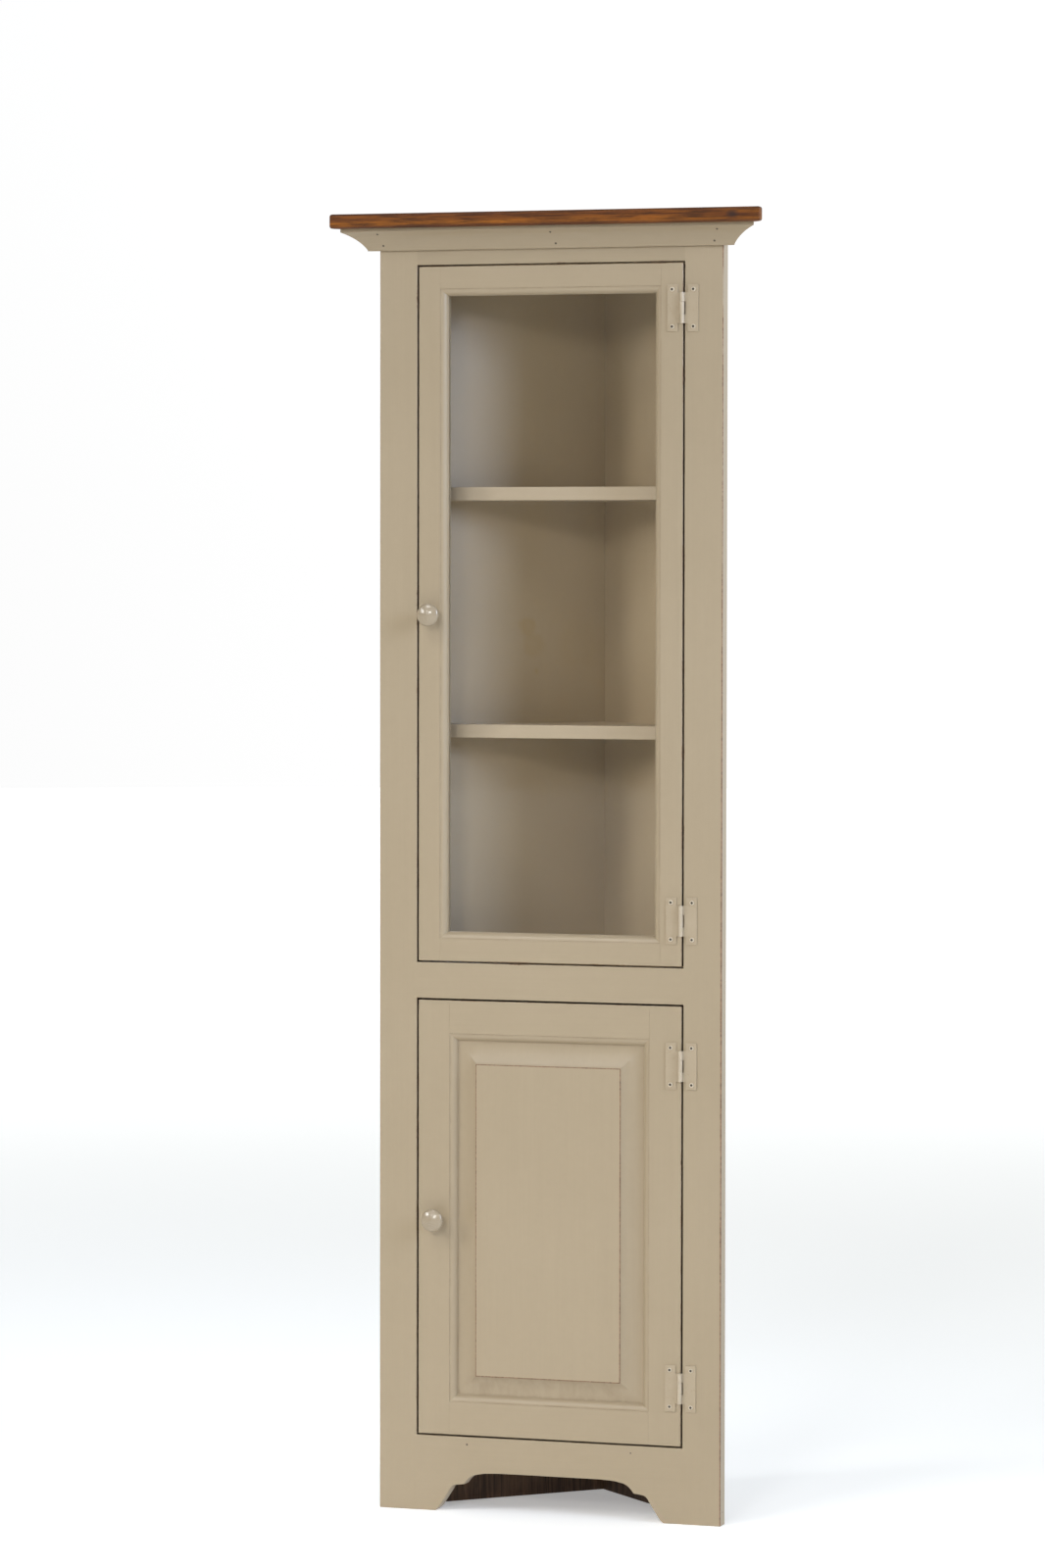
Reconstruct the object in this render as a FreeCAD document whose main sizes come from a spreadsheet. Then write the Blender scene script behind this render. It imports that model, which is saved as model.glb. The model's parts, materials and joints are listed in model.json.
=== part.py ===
import FreeCAD, Part
import math
import os
import Sketcher

# Corner pantry cabinet: an inset face frame across the room's corner, two back
# boards that meet at a right angle, a glazed door above and a raised-panel door
# below, a stained top board with a cove crown under it.
#
# Frame of the model: X across the front, +Y to the back corner, +Z up.
# The origin is on the floor, in the middle of the cabinet's bounding box.
# Depths are counted from the face frame's front, which stands at Y = face_y.

doc = FreeCAD.newDocument("corner_cabinet")
dims = doc.addObject("Spreadsheet::Sheet", "Dims")

CELLS = [
    # overall
    ("top_z", 1829.0), ("face_y", -120.85),
    # stained top board
    ("topb_thk", 20.0), ("topb_front", 37.5), ("topb_side", 62.7),
    ("topb_nose", 12.0), ("topb_apex", 10.0), ("topb_ease", 3.5),
    # face frame
    ("frame_half", 252.0), ("frame_thk", 22.0), ("open_half", 196.4),
    ("apron_top", 106.5), ("midrail_bot", 726.3), ("midrail_top", 777.1),
    ("toprail_bot", 1757.8), ("tenon_len", 14.0), ("tenon_thk", 8.0),
    ("tenon_in", 7.0), ("tenon_lip", 9.0),
    # crown moulding, sprung between the frame and the top board
    ("crown_bot", 1778.3), ("crown_lipy", 4.3), ("crown_lipz", 1.4),
    ("crown_top_y", 25.0), ("crown_fillet", 5.0), ("crown_cove", 50.0),
    ("crown_seat", 10.5), ("crown_bed", 13.0), ("crown_end_low", 17.0),
    ("crown_end_high", 50.5),
    # back boards and inner panels
    ("back_thk", 15.0), ("deck_thk", 19.0), ("shelf_thk", 19.0),
    ("shelf_set", 50.0), ("shelf_hi_top", 1447.0), ("shelf_lo_top", 1112.0),
    ("cup_shelf_top", 415.0),
    # doors
    ("door_half", 194.0), ("door_thk", 20.0),
    ("udoor_bot", 779.5), ("udoor_top", 1755.4),
    ("ldoor_bot", 108.9), ("ldoor_top", 723.9),
    ("ustile_w", 41.5), ("ustick_w", 9.7), ("ulip", 11.0), ("urabbet", 8.0),
    ("lstile_w", 57.15), ("lstick_w", 10.5), ("stick_deep", 8.0),
    ("stick_step", 0.9), ("groove_y", 9.0), ("groove_w", 6.0),
    ("groove_deep", 10.0), ("ustick_rad", 9.6), ("lstick_rad", 10.7),
    # glass and its stops
    ("glass_thk", 3.0), ("glass_play", 1.0), ("stop_w", 8.0),
    # raised panel
    ("panel_half", 145.3), ("panel_lo", 156.6), ("panel_hi", 672.2),
    ("field_half", 107.0), ("field_lo", 193.4), ("field_hi", 635.0),
    ("field_y", 1.5), ("field_step", 1.3), ("panel_back", 14.9),
    ("tongue_y", 9.1), ("bevel_rad", 46.0), ("panel_dx", -1.0),
    # knobs
    ("knob_rad", 16.0), ("knob_len", 28.0), ("knob_base", 8.6),
    ("knob_neck", 6.7), ("uknob_x", -173.2), ("uknob_z", 1267.0),
    ("lknob_x", -166.0), ("lknob_z", 414.0), ("kscrew_rad", 2.1),
    ("khole_rad", 2.6), ("kscrew_in", 14.0), ("khead_rad", 4.0),
    ("khead_thk", 2.2),
    # butt hinges, leaves on the faces
    ("hinge_x", 193.9), ("hinge_y", 4.4), ("barrel_rad", 3.1),
    ("bore_rad", 1.50), ("pin_rad", 1.45), ("leaf_thk", 1.6),
    ("leaf_in", 7.2), ("leaf_out", 22.4), ("leaf_tall", 65.0),
    ("barrel_tall", 42.4), ("knuckle_mid", 16.8), ("knuckle_gap", 0.4),
    ("leaf_clear", 4.2), ("hole_x", 15.4), ("hole_dz", 51.5),
    ("hole_rad", 1.9), ("uh_top", 1693.0), ("uh_bot", 843.0),
    ("lh_top", 640.7), ("lh_bot", 190.4), ("pin_over", 0.6),
    # wood screws in the leaves
    ("scr_rad", 1.7), ("scr_in", 13.0), ("scrhead_rad", 3.2),
    ("scrhead_thk", 1.5), ("scrhead_ease", 0.9), ("recess_rad", 1.0),
    ("recess_deep", 0.9),
    # magnetic catches and strike plates
    ("catch_x", -214.0), ("catch_w", 33.0), ("catch_deep", 12.0),
    ("catch_tall", 40.0), ("ucatch_z", 1160.0), ("lcatch_z", 540.0),
    ("magnet_x", -195.0), ("magnet_w", 12.0), ("magnet_tall", 24.0),
    ("magnet_out", 0.5), ("magnet_deep", 8.0), ("cscrew_x", -205.5),
    ("cscrew_dz", 26.0), ("cscrew_len", 23.0), ("strike_x", -193.0),
    ("strike_w", 13.0), ("strike_tall", 32.0), ("strike_thk", 1.1),
    ("strikescr_x", -186.5), ("strikescr_dz", 20.0),
    # nails and top screws
    ("brad_rad", 0.8), ("brad_len", 26.0), ("topscr_rad", 2.1),
    ("topscr_len", 31.0), ("topscr_head", 4.2),
]


class Q:
    """A length with its formula on the sheet."""

    def __init__(self, v, t):
        self.v, self.t = float(v), t

    def __add__(self, o):
        o = q(o)
        return Q(self.v + o.v, "(%s + %s)" % (self.t, o.t))

    __radd__ = __add__

    def __sub__(self, o):
        o = q(o)
        return Q(self.v - o.v, "(%s - %s)" % (self.t, o.t))

    def __rsub__(self, o):
        return q(o) - self

    def __mul__(self, k):
        k = q(k)
        return Q(self.v * k.v, "(%s * %s)" % (self.t, k.t))

    __rmul__ = __mul__

    def __neg__(self):
        return Q(-self.v, "(0 - %s)" % self.t)


def q(o):
    return o if isinstance(o, Q) else Q(o, repr(float(o)))


class Cells:
    pass


D = Cells()
for i, (name, value) in enumerate(CELLS):
    dims.set("A%d" % (i + 1), str(value))
    dims.setAlias("A%d" % (i + 1), name)
    setattr(D, name, Q(value, "Dims." + name))
doc.recompute()

NODES = []


def bind(obj, prop, value):
    obj.setExpression(prop, value.t)


def seat(obj, x=0, y=0, z=0):
    """Places a piece; its three coordinates stay tied to the sheet."""
    x, y, z = q(x), q(y), q(z)
    obj.Placement = FreeCAD.Placement(
        FreeCAD.Vector(x.v, y.v, z.v), FreeCAD.Rotation())
    for axis, val in (("x", x), ("y", y), ("z", z)):
        bind(obj, "Placement.Base." + axis, val)


def node(obj, label):
    obj.Label = label
    NODES.append(obj)
    return obj


def plane(body, role):
    for feature in body.Origin.OriginFeatures:
        if feature.Role == role:
            return feature
    raise RuntimeError(role)


def new_body(name, many=False):
    body = doc.addObject("PartDesign::Body", name)
    if many:
        body.AllowCompound = True
    return body


def sketch_on(body, name, role, offset=None):
    sk = body.newObject("Sketcher::SketchObject", name)
    sk.AttachmentSupport = [(plane(body, role), "")]
    sk.MapMode = "FlatFace"
    if offset is not None:
        off = q(offset)
        sk.AttachmentOffset = FreeCAD.Placement(
            FreeCAD.Vector(0, 0, off.v), FreeCAD.Rotation())
        bind(sk, "AttachmentOffset.Base.z", off)
    return sk


def fix(sk, geo, pos, x, y, tag):
    """Ties one end of a piece of outline to the sheet."""
    x, y = q(x), q(y)
    a = sk.addConstraint(Sketcher.Constraint("DistanceX", -1, 1, geo, pos, x.v))
    sk.renameConstraint(a, tag + "x")
    bind(sk, "Constraints." + tag + "x", x)
    b = sk.addConstraint(Sketcher.Constraint("DistanceY", -1, 1, geo, pos, y.v))
    sk.renameConstraint(b, tag + "y")
    bind(sk, "Constraints." + tag + "y", y)


def arc_through(p0, p1, rad, side):
    """Arc of a given radius between two points; side +1 bulges to the left."""
    mx, my = (p0[0] + p1[0]) / 2, (p0[1] + p1[1]) / 2
    dx, dy = p1[0] - p0[0], p1[1] - p0[1]
    c = math.hypot(dx, dy)
    k = math.sqrt(max(rad * rad - c * c / 4, 0.0))
    nx, ny = -dy / c, dx / c
    cx, cy = mx - side * nx * k, my - side * ny * k
    mid = (cx + side * nx * rad, cy + side * ny * rad)
    z = FreeCAD.Vector
    return Part.Arc(z(p0[0], p0[1], 0), z(mid[0], mid[1], 0),
                    z(p1[0], p1[1], 0))


def outline(sk, pts, tag, arcs=None):
    """Closed outline. pts are (x, y) formulas; arcs maps the index of a side
    to (radius, side)."""
    arcs = arcs or {}
    pts = [(q(a), q(b)) for a, b in pts]
    n = len(pts)
    ids = []
    for i in range(n):
        p0 = (pts[i][0].v, pts[i][1].v)
        p1 = (pts[(i + 1) % n][0].v, pts[(i + 1) % n][1].v)
        if i in arcs:
            rad, side = arcs[i]
            g = arc_through(p0, p1, q(rad).v, side)
        else:
            g = Part.LineSegment(FreeCAD.Vector(p0[0], p0[1], 0),
                                 FreeCAD.Vector(p1[0], p1[1], 0))
        ids.append(sk.addGeometry(g, False))

    def ends(i):
        """Point numbers of the first and last end of side i."""
        if i not in arcs:
            return 1, 2
        p0 = (pts[i][0].v, pts[i][1].v)
        s = sk.getPoint(ids[i], 1)
        near = math.hypot(s.x - p0[0], s.y - p0[1]) < 1e-4
        return (1, 2) if near else (2, 1)

    for i in range(n):
        j = (i + 1) % n
        sk.addConstraint(Sketcher.Constraint(
            "Coincident", ids[i], ends(i)[1], ids[j], ends(j)[0]))
    for i in range(n):
        fix(sk, ids[i], ends(i)[0], pts[i][0], pts[i][1], "%s%d" % (tag, i))
        if i in arcs:
            rad = q(arcs[i][0])
            c = sk.addConstraint(Sketcher.Constraint("Radius", ids[i], rad.v))
            sk.renameConstraint(c, "%s%dr" % (tag, i))
            bind(sk, "Constraints.%s%dr" % (tag, i), rad)


def rect(sk, x0, y0, x1, y1, tag):
    outline(sk, [(x0, y0), (x1, y0), (x1, y1), (x0, y1)], tag)


def ring(sk, x, y, rad, tag):
    x, y, rad = q(x), q(y), q(rad)
    g = sk.addGeometry(Part.Circle(FreeCAD.Vector(x.v, y.v, 0),
                                   FreeCAD.Vector(0, 0, 1), rad.v), False)
    c = sk.addConstraint(Sketcher.Constraint("Radius", g, rad.v))
    sk.renameConstraint(c, tag + "r")
    bind(sk, "Constraints." + tag + "r", rad)
    fix(sk, g, 3, x, y, tag)


def pad(body, name, sk, length, reverse=False):
    f = body.newObject("PartDesign::Pad", name)
    f.Profile = sk
    f.Length = q(length).v
    bind(f, "Length", q(length))
    f.Reversed = reverse
    sk.Visibility = False
    return f


def pocket(body, name, sk, length, reverse=False):
    """Cuts, and makes sure that the cut took something away."""
    doc.recompute()
    for o in doc.Objects:
        if any(w in o.State for w in ("Invalid", "Error")):
            raise RuntimeError("%s %s" % (o.Name, o.State))
    before = body.Shape.Volume
    f = body.newObject("PartDesign::Pocket", name)
    f.Profile = sk
    f.Length = q(length).v
    bind(f, "Length", q(length))
    f.Reversed = reverse
    doc.recompute()
    if body.Shape.Volume > before - 1e-6:
        f.Reversed = not reverse
        doc.recompute()
    if body.Shape.Volume > before - 1e-6:
        raise RuntimeError("%s cuts nothing" % name)
    return f


def box(name, x0, y0, z0, x1, y1, z1):
    b = doc.addObject("Part::Box", name)
    for prop, val in (("Length", q(x1) - q(x0)), ("Width", q(y1) - q(y0)),
                      ("Height", q(z1) - q(z0))):
        setattr(b, prop, val.v)
        bind(b, prop, val)
    seat(b, x0, y0, z0)
    return b


def fuse(name, pieces):
    f = doc.addObject("Part::MultiFuse", name)
    f.Shapes = pieces
    return f


def cut(name, base, tool):
    f = doc.addObject("Part::Cut", name)
    f.Base, f.Tool = base, tool
    return f


def common(name, a, b):
    f = doc.addObject("Part::MultiCommon", name)
    f.Shapes = [a, b]
    return f


F = D.face_y                      # the face frame's front
frame_back = F + D.frame_thk
carcass_top = D.top_z - D.topb_thk


# ---------------------------------------------------------------- top board
# A five-sided board: straight front, short square noses at both ends, then two
# 45 degree edges along the room's walls, with the back corner clipped.
body = new_body("TopBoard")
sk = sketch_on(body, "TopOutline", "XY_Plane")
tx = D.frame_half + D.topb_side
wall = tx - D.topb_front + D.topb_nose            # x + y along the wall edge
outline(sk, [(-tx, -D.topb_front), (tx, -D.topb_front),
             (tx, D.topb_nose - D.topb_front),
             (D.topb_apex, wall - D.topb_apex),
             (-D.topb_apex, wall - D.topb_apex),
             (-tx, D.topb_nose - D.topb_front)], "t")
slab = pad(body, "TopSlab", sk, D.topb_thk)
doc.recompute()
names = []
for i, e in enumerate(slab.Shape.Edges):
    b = e.BoundBox
    if b.YMax < -D.topb_front.v + D.topb_nose.v + 0.1:
        names.append("Edge%d" % (i + 1))
ease = body.newObject("PartDesign::Fillet", "TopEase")
ease.Base = (slab, names)
ease.Radius = D.topb_ease.v
bind(ease, "Radius", D.topb_ease)
seat(body, 0, F, carcass_top)
node(body, "top_board")


# --------------------------------------------------------------- face frame
# Stiles run from the floor to the top board. Rails have stub tenons that sit
# in mortises in the stiles.
def tenoned_rail(name, label, z0, z1, keep=None):
    main = box(name + "Bar", -D.open_half, F, z0, D.open_half, frame_back, z1)
    ten = box(name + "Tenons", -D.open_half - D.tenon_len, F + D.tenon_in,
              q(z0) + D.tenon_lip, D.open_half + D.tenon_len,
              F + D.tenon_in + D.tenon_thk, q(z1) - D.tenon_lip)
    return fuse(name, [main, ten])


rail_top = tenoned_rail("RailTop", "", D.toprail_bot, carcass_top)
node(rail_top, "frame_rail_top")
rail_mid = tenoned_rail("RailMiddle", "", D.midrail_bot, D.midrail_top)
node(rail_mid, "frame_rail_middle")


def stile(name, label, side):
    if side < 0:
        blank = box(name + "Bar", -D.frame_half, F, 0, -D.open_half,
                    frame_back, carcass_top)
        x0, x1 = -D.open_half - D.tenon_len, -D.open_half + 5
    else:
        blank = box(name + "Bar", D.open_half, F, 0, D.frame_half,
                    frame_back, carcass_top)
        x0, x1 = D.open_half - 5, D.open_half + D.tenon_len
    sockets = []
    for k, (z0, z1) in enumerate(((q(0), D.apron_top),
                                  (D.midrail_bot, D.midrail_top),
                                  (D.toprail_bot, carcass_top))):
        sockets.append(box("%sMortise%d" % (name, k), x0, F + D.tenon_in,
                           z0 + D.tenon_lip, x1,
                           F + D.tenon_in + D.tenon_thk, z1 - D.tenon_lip))
    return node(cut(name, blank, fuse(name + "Mortises", sockets)), label)


stile("StileLeft", "frame_stile_left", -1)
stile("StileRight", "frame_stile_right", 1)

# The apron between the stiles is sawn to a bracket-foot outline: a steep toe, a
# shoulder, a small cusp and a cove that runs out into a flat top.
half = [(168.7, 0.0), (163.6, 4.7), (147.2, 29.6), (136.4, 37.9),
        (125.2, 39.4), (110.0, 52.8), (97.5, 55.4), (60.0, 56.8)]
body = new_body("ApronRail")
sk = sketch_on(body, "ApronOutline", "XZ_Plane")
pts = [(-D.open_half, q(0))]
pts += [(q(-x), q(z)) for x, z in half]
pts += [(q(x), q(z)) for x, z in reversed(half)]
pts += [(D.open_half, q(0)), (D.open_half, D.apron_top),
        (-D.open_half, D.apron_top)]
# sides: 1..8 left half, 8 is the flat, 9.. right half
outline(sk, pts, "a", {3: (12.0, 1), 5: (30.0, 1), 7: (400.0, 1),
                       9: (400.0, 1), 11: (30.0, 1), 13: (12.0, 1)})
pad(body, "ApronBoard", sk, D.frame_thk, True)
sk = sketch_on(body, "ApronTenonOutline", "XZ_Plane", -D.tenon_in)
rect(sk, -D.open_half - D.tenon_len, D.tenon_lip, -D.open_half + 8,
     D.apron_top - D.tenon_lip, "l")
rect(sk, D.open_half - 8, D.tenon_lip, D.open_half + D.tenon_len,
     D.apron_top - D.tenon_lip, "r")
pad(body, "ApronTenons", sk, D.tenon_thk, True)
seat(body, 0, F, 0)
node(body, "apron_rail")


# -------------------------------------------------------------------- crown
# A sprung cove: a thin foot on the frame, a shallow cove, a square fillet under
# the top board and an open triangle behind. Both ends are cut back in plan.
body = new_body("Crown")
sk = sketch_on(body, "CrownSection", "YZ_Plane", -D.frame_half - D.crown_end_high - 5)
outline(sk, [(q(0), D.crown_bot), (-D.crown_lipy, D.crown_bot),
             (-D.crown_lipy, D.crown_bot + D.crown_lipz),
             (-D.crown_top_y, carcass_top - D.crown_fillet),
             (-D.crown_top_y, carcass_top),
             (-D.crown_bed, carcass_top),
             (q(0), D.crown_bot + D.crown_seat)], "c",
        {2: (D.crown_cove, -1)})
pad(body, "CrownRun", sk, 2 * (D.frame_half + D.crown_end_high + 5))
slope = (D.crown_end_high.v - D.crown_end_low.v) / \
        (D.crown_top_y.v - D.crown_lipy.v)
sk = sketch_on(body, "CrownEndCuts", "XY_Plane")
e0 = D.frame_half + D.crown_end_low - slope * (D.crown_lipy + 10)
e1 = D.frame_half + D.crown_end_low + slope * (D.crown_top_y - D.crown_lipy + 10)
for s, tag in ((-1, "l"), (1, "r")):
    outline(sk, [(e0 * s, q(10)), ((e1 + 40) * s, q(10)),
                 ((e1 + 40) * s, -D.crown_top_y - 10),
                 (e1 * s, -D.crown_top_y - 10)], tag)
pocket(body, "CrownEnds", sk, D.top_z, True)
seat(body, 0, F, 0)
node(body, "crown_moulding")


# -------------------------------------------------------------- back boards
# Two boards at 45 degrees, butted at the back corner; the left one runs through.
root2 = math.sqrt(2.0)
inner = D.frame_half + D.frame_thk - root2 * D.back_thk     # x + y inside
outer = D.frame_half + D.frame_thk
nib = (root2 / 2) * D.back_thk
body = new_body("BackLeft")
sk = sketch_on(body, "BackLeftPlan", "XY_Plane")
outline(sk, [(-D.frame_half, D.frame_thk), (-(inner - D.frame_thk), D.frame_thk),
             (nib, inner + nib), (q(0), outer)], "b")
pad(body, "BackLeftBoard", sk, carcass_top)
seat(body, 0, F, 0)
node(body, "back_board_left")
body = new_body("BackRight")
sk = sketch_on(body, "BackRightPlan", "XY_Plane")
outline(sk, [(D.frame_half, D.frame_thk), (nib, outer - nib), (q(0), inner),
             (inner - D.frame_thk, D.frame_thk)], "b")
pad(body, "BackRightBoard", sk, carcass_top)
seat(body, 0, F, 0)
node(body, "back_board_right")


def corner_panel(name, label, front, top, thk):
    """A triangular board that fills the corner from a given depth back."""
    b = new_body(name)
    s = sketch_on(b, name + "Plan", "XY_Plane")
    outline(s, [(-(inner - front), front), (inner - front, front),
                (q(0), inner)], "p")
    pad(b, name + "Board", s, thk)
    seat(b, 0, F, top - thk)
    return node(b, label)


corner_panel("SubTop", "sub_top", D.frame_thk, carcass_top, D.deck_thk)
corner_panel("ShelfHigh", "upper_shelf_high", D.shelf_set, D.shelf_hi_top,
             D.shelf_thk)
corner_panel("ShelfLow", "upper_shelf_low", D.shelf_set, D.shelf_lo_top,
             D.shelf_thk)
corner_panel("MidDeck", "middle_deck", D.frame_thk, D.midrail_top, D.deck_thk)
corner_panel("CupShelf", "cupboard_shelf", D.shelf_set, D.cup_shelf_top,
             D.shelf_thk)
corner_panel("LowDeck", "bottom_deck", D.frame_thk, D.apron_top, D.deck_thk)


# -------------------------------------------------------------------- doors
def door_stile(name, label, side, width, stick, rad, z0, z1, glazed,
               knob=None):
    """Upright of a door, an ovolo moulded on its inner edge, with a rabbet for
    glass or a groove for a panel behind it."""
    b = new_body(name)
    s = sketch_on(b, name + "Plan", "XY_Plane")
    a = D.door_half
    w = a - width                       # sight edge
    f = w + stick                       # where the flat face ends
    if glazed:
        p = [(a, q(0)), (f, q(0)), (f, D.stick_step),
             (w + 0.6, D.stick_deep), (w, D.stick_deep), (w, D.ulip),
             (w + D.urabbet, D.ulip), (w + D.urabbet, D.door_thk),
             (a, D.door_thk)]
    else:
        p = [(a, q(0)), (f, q(0)), (f, D.stick_step),
             (w + 0.6, D.stick_deep), (w, D.stick_deep), (w, D.groove_y),
             (w + D.groove_deep, D.groove_y),
             (w + D.groove_deep, D.groove_y + D.groove_w),
             (w, D.groove_y + D.groove_w), (w, D.door_thk), (a, D.door_thk)]
    bulge = 1
    if side < 0:
        p = [(-x, y) for x, y in p]
        bulge = -1
    outline(s, p, "d", {2: (rad, bulge)})
    pad(b, name + "Bar", s, z1 - z0)
    if knob is not None:
        s = sketch_on(b, name + "KnobHole", "XZ_Plane", 5)
        ring(s, knob[0], knob[1] - z0, D.khole_rad, "k")
        pocket(b, name + "KnobBore", s, D.door_thk + 10, False)
    seat(b, 0, F, z0)
    return node(b, label)


def door_rail(name, label, up, width, stick, rad, edge, stiles, glazed):
    """Cross rail of a door: the same moulding, its ends coped over the
    stiles' moulding with a stub tongue behind."""
    b = new_body(name + "Blank")
    flat = D.door_half - width + stick
    s = sketch_on(b, name + "Section", "YZ_Plane", -flat)
    # heights are counted from the door's outer edge towards its middle
    def zz(d):
        return edge - d if up else edge + d
    if glazed:
        p = [(q(0), zz(q(0))), (q(0), zz(width - stick)),
             (D.stick_step, zz(width - stick)),
             (D.stick_deep, zz(width - 0.6)), (D.stick_deep, zz(width)),
             (D.ulip, zz(width)), (D.ulip, zz(width - D.urabbet)),
             (D.door_thk, zz(width - D.urabbet)), (D.door_thk, zz(q(0)))]
    else:
        p = [(q(0), zz(q(0))), (q(0), zz(width - stick)),
             (D.stick_step, zz(width - stick)),
             (D.stick_deep, zz(width - 0.6)), (D.stick_deep, zz(width)),
             (D.groove_y, zz(width)), (D.groove_y, zz(width - D.groove_deep)),
             (D.groove_y + D.groove_w, zz(width - D.groove_deep)),
             (D.groove_y + D.groove_w, zz(width)), (D.door_thk, zz(width)),
             (D.door_thk, zz(q(0)))]
    outline(s, p, "d", {2: (rad, -1 if up else 1)})
    pad(b, name + "Bar", s, 2 * flat)
    seat(b, 0, F, 0)
    pair = doc.addObject("Part::Compound", name + "Copes")
    pair.Links = stiles
    return node(cut(name, b, pair), label)


us = [door_stile("UStileKnob", "upper_door_stile_knob", -1, D.ustile_w,
                 D.ustick_w, D.ustick_rad, D.udoor_bot, D.udoor_top, True,
                 (D.uknob_x, D.uknob_z)),
      door_stile("UStileHinge", "upper_door_stile_hinge", 1, D.ustile_w,
                 D.ustick_w, D.ustick_rad, D.udoor_bot, D.udoor_top, True)]
door_rail("URailTop", "upper_door_rail_top", True, D.ustile_w - 0.7,
          D.ustick_w, D.ustick_rad, D.udoor_top, us, True)
door_rail("URailBottom", "upper_door_rail_bottom", False, D.ustile_w - 0.5,
          D.ustick_w, D.ustick_rad, D.udoor_bot, us, True)
ls = [door_stile("LStileKnob", "lower_door_stile_knob", -1, D.lstile_w,
                 D.lstick_w, D.lstick_rad, D.ldoor_bot, D.ldoor_top, False,
                 (D.lknob_x, D.lknob_z)),
      door_stile("LStileHinge", "lower_door_stile_hinge", 1, D.lstile_w,
                 D.lstick_w, D.lstick_rad, D.ldoor_bot, D.ldoor_top, False)]
door_rail("LRailTop", "lower_door_rail_top", True, D.lstile_w,
          D.lstick_w, D.lstick_rad, D.ldoor_top, ls, False)
door_rail("LRailBottom", "lower_door_rail_bottom", False, D.lstile_w,
          D.lstick_w, D.lstick_rad, D.ldoor_bot, ls, False)

# Glass in the upper door's rabbet, held by four square stops behind it.
gx = D.door_half - D.ustile_w + D.urabbet
gz0 = D.udoor_bot + D.ustile_w - 0.5 - D.urabbet
gz1 = D.udoor_top - D.ustile_w + 0.7 + D.urabbet
glass = box("Glass", -gx + D.glass_play, F + D.ulip, gz0 + D.glass_play,
            gx - D.glass_play, F + D.ulip + D.glass_thk, gz1 - D.glass_play)
node(glass, "glass_pane")
sy0, sy1 = F + D.ulip + D.glass_thk, F + D.door_thk - 0.4
body = new_body("GlassStops", True)
sk = sketch_on(body, "StopOutlines", "XZ_Plane")
g = q(0.2)
rect(sk, -gx + g, gz0 + g, -gx + D.stop_w, gz1 - g, "a")
rect(sk, gx - D.stop_w, gz0 + g, gx - g, gz1 - g, "b")
rect(sk, -gx + D.stop_w + g, gz1 - D.stop_w, gx - D.stop_w - g, gz1 - g, "c")
rect(sk, -gx + D.stop_w + g, gz0 + g, gx - D.stop_w - g, gz0 + D.stop_w, "d")
pad(body, "StopStrips", sk, sy1 - sy0, True)
seat(body, 0, sy0, 0)
node(body, "glass_stops")

# The raised panel: two long prisms cross, one shaped across the width and one
# up the height, so that the four bevels meet in mitres.
body = new_body("PanelWide")
sk = sketch_on(body, "PanelWideSection", "XY_Plane")
sight = D.door_half - D.lstile_w + 1.0


def raised(edge_lo, edge_hi, sight_lo, sight_hi, field_lo, field_hi):
    return [(edge_lo, D.panel_back), (edge_lo, D.tongue_y),
            (sight_lo, D.tongue_y), (field_lo, D.field_step - D.field_y),
            (field_lo, -D.field_y), (field_hi, -D.field_y),
            (field_hi, D.field_step - D.field_y), (sight_hi, D.tongue_y),
            (edge_hi, D.tongue_y), (edge_hi, D.panel_back)]


outline(sk, raised(-D.panel_half + D.panel_dx, D.panel_half + D.panel_dx,
                   -sight + 1, sight - 1, -D.field_half + D.panel_dx,
                   D.field_half + D.panel_dx), "w",
        {2: (D.bevel_rad, 1), 6: (D.bevel_rad, 1)})
pad(body, "PanelWideRun", sk, D.ldoor_top - D.ldoor_bot)
seat(body, 0, F, D.ldoor_bot)
wide = body
body = new_body("PanelTall")
sk = sketch_on(body, "PanelTallSection", "YZ_Plane", -D.door_half)
sl = D.ldoor_bot + D.lstile_w
sh = D.ldoor_top - D.lstile_w
tall_pts = [(b_, a_) for a_, b_ in
            raised(D.panel_lo, D.panel_hi, sl, sh, D.field_lo, D.field_hi)]
outline(sk, tall_pts, "w", {2: (D.bevel_rad, -1), 6: (D.bevel_rad, -1)})
pad(body, "PanelTallRun", sk, 2 * D.door_half)
seat(body, 0, F, 0)
node(common("RaisedPanel", wide, body), "raised_panel")


# -------------------------------------------------------------------- knobs
def knob(name, label, x, z):
    b = new_body(name)
    s = sketch_on(b, name + "Section", "XY_Plane")
    r, n = D.knob_rad, D.knob_len
    outline(s, [(q(0), q(0)), (D.knob_base, q(0)), (D.knob_base, q(-1.6)),
                (D.knob_neck, q(-8.0)), (r - 1.2, -n + 9.6),
                (r, -n + 7.2), (r - 2.6, -n + 3.6), (q(1.0), -n),
                (q(0), -n)], "k",
            {3: (14.0, -1), 4: (2.6, 1), 5: (4.6, 1), 6: (40.0, 1)})
    f = b.newObject("PartDesign::Revolution", name + "Turned")
    f.Profile = s
    f.ReferenceAxis = (s, ["V_Axis"])
    f.Angle = 360.0
    seat(b, x, F, z)
    return node(b, label)


knob("KnobUpper", "upper_knob", D.uknob_x, D.uknob_z)
knob("KnobLower", "lower_knob", D.lknob_x, D.lknob_z)


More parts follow.
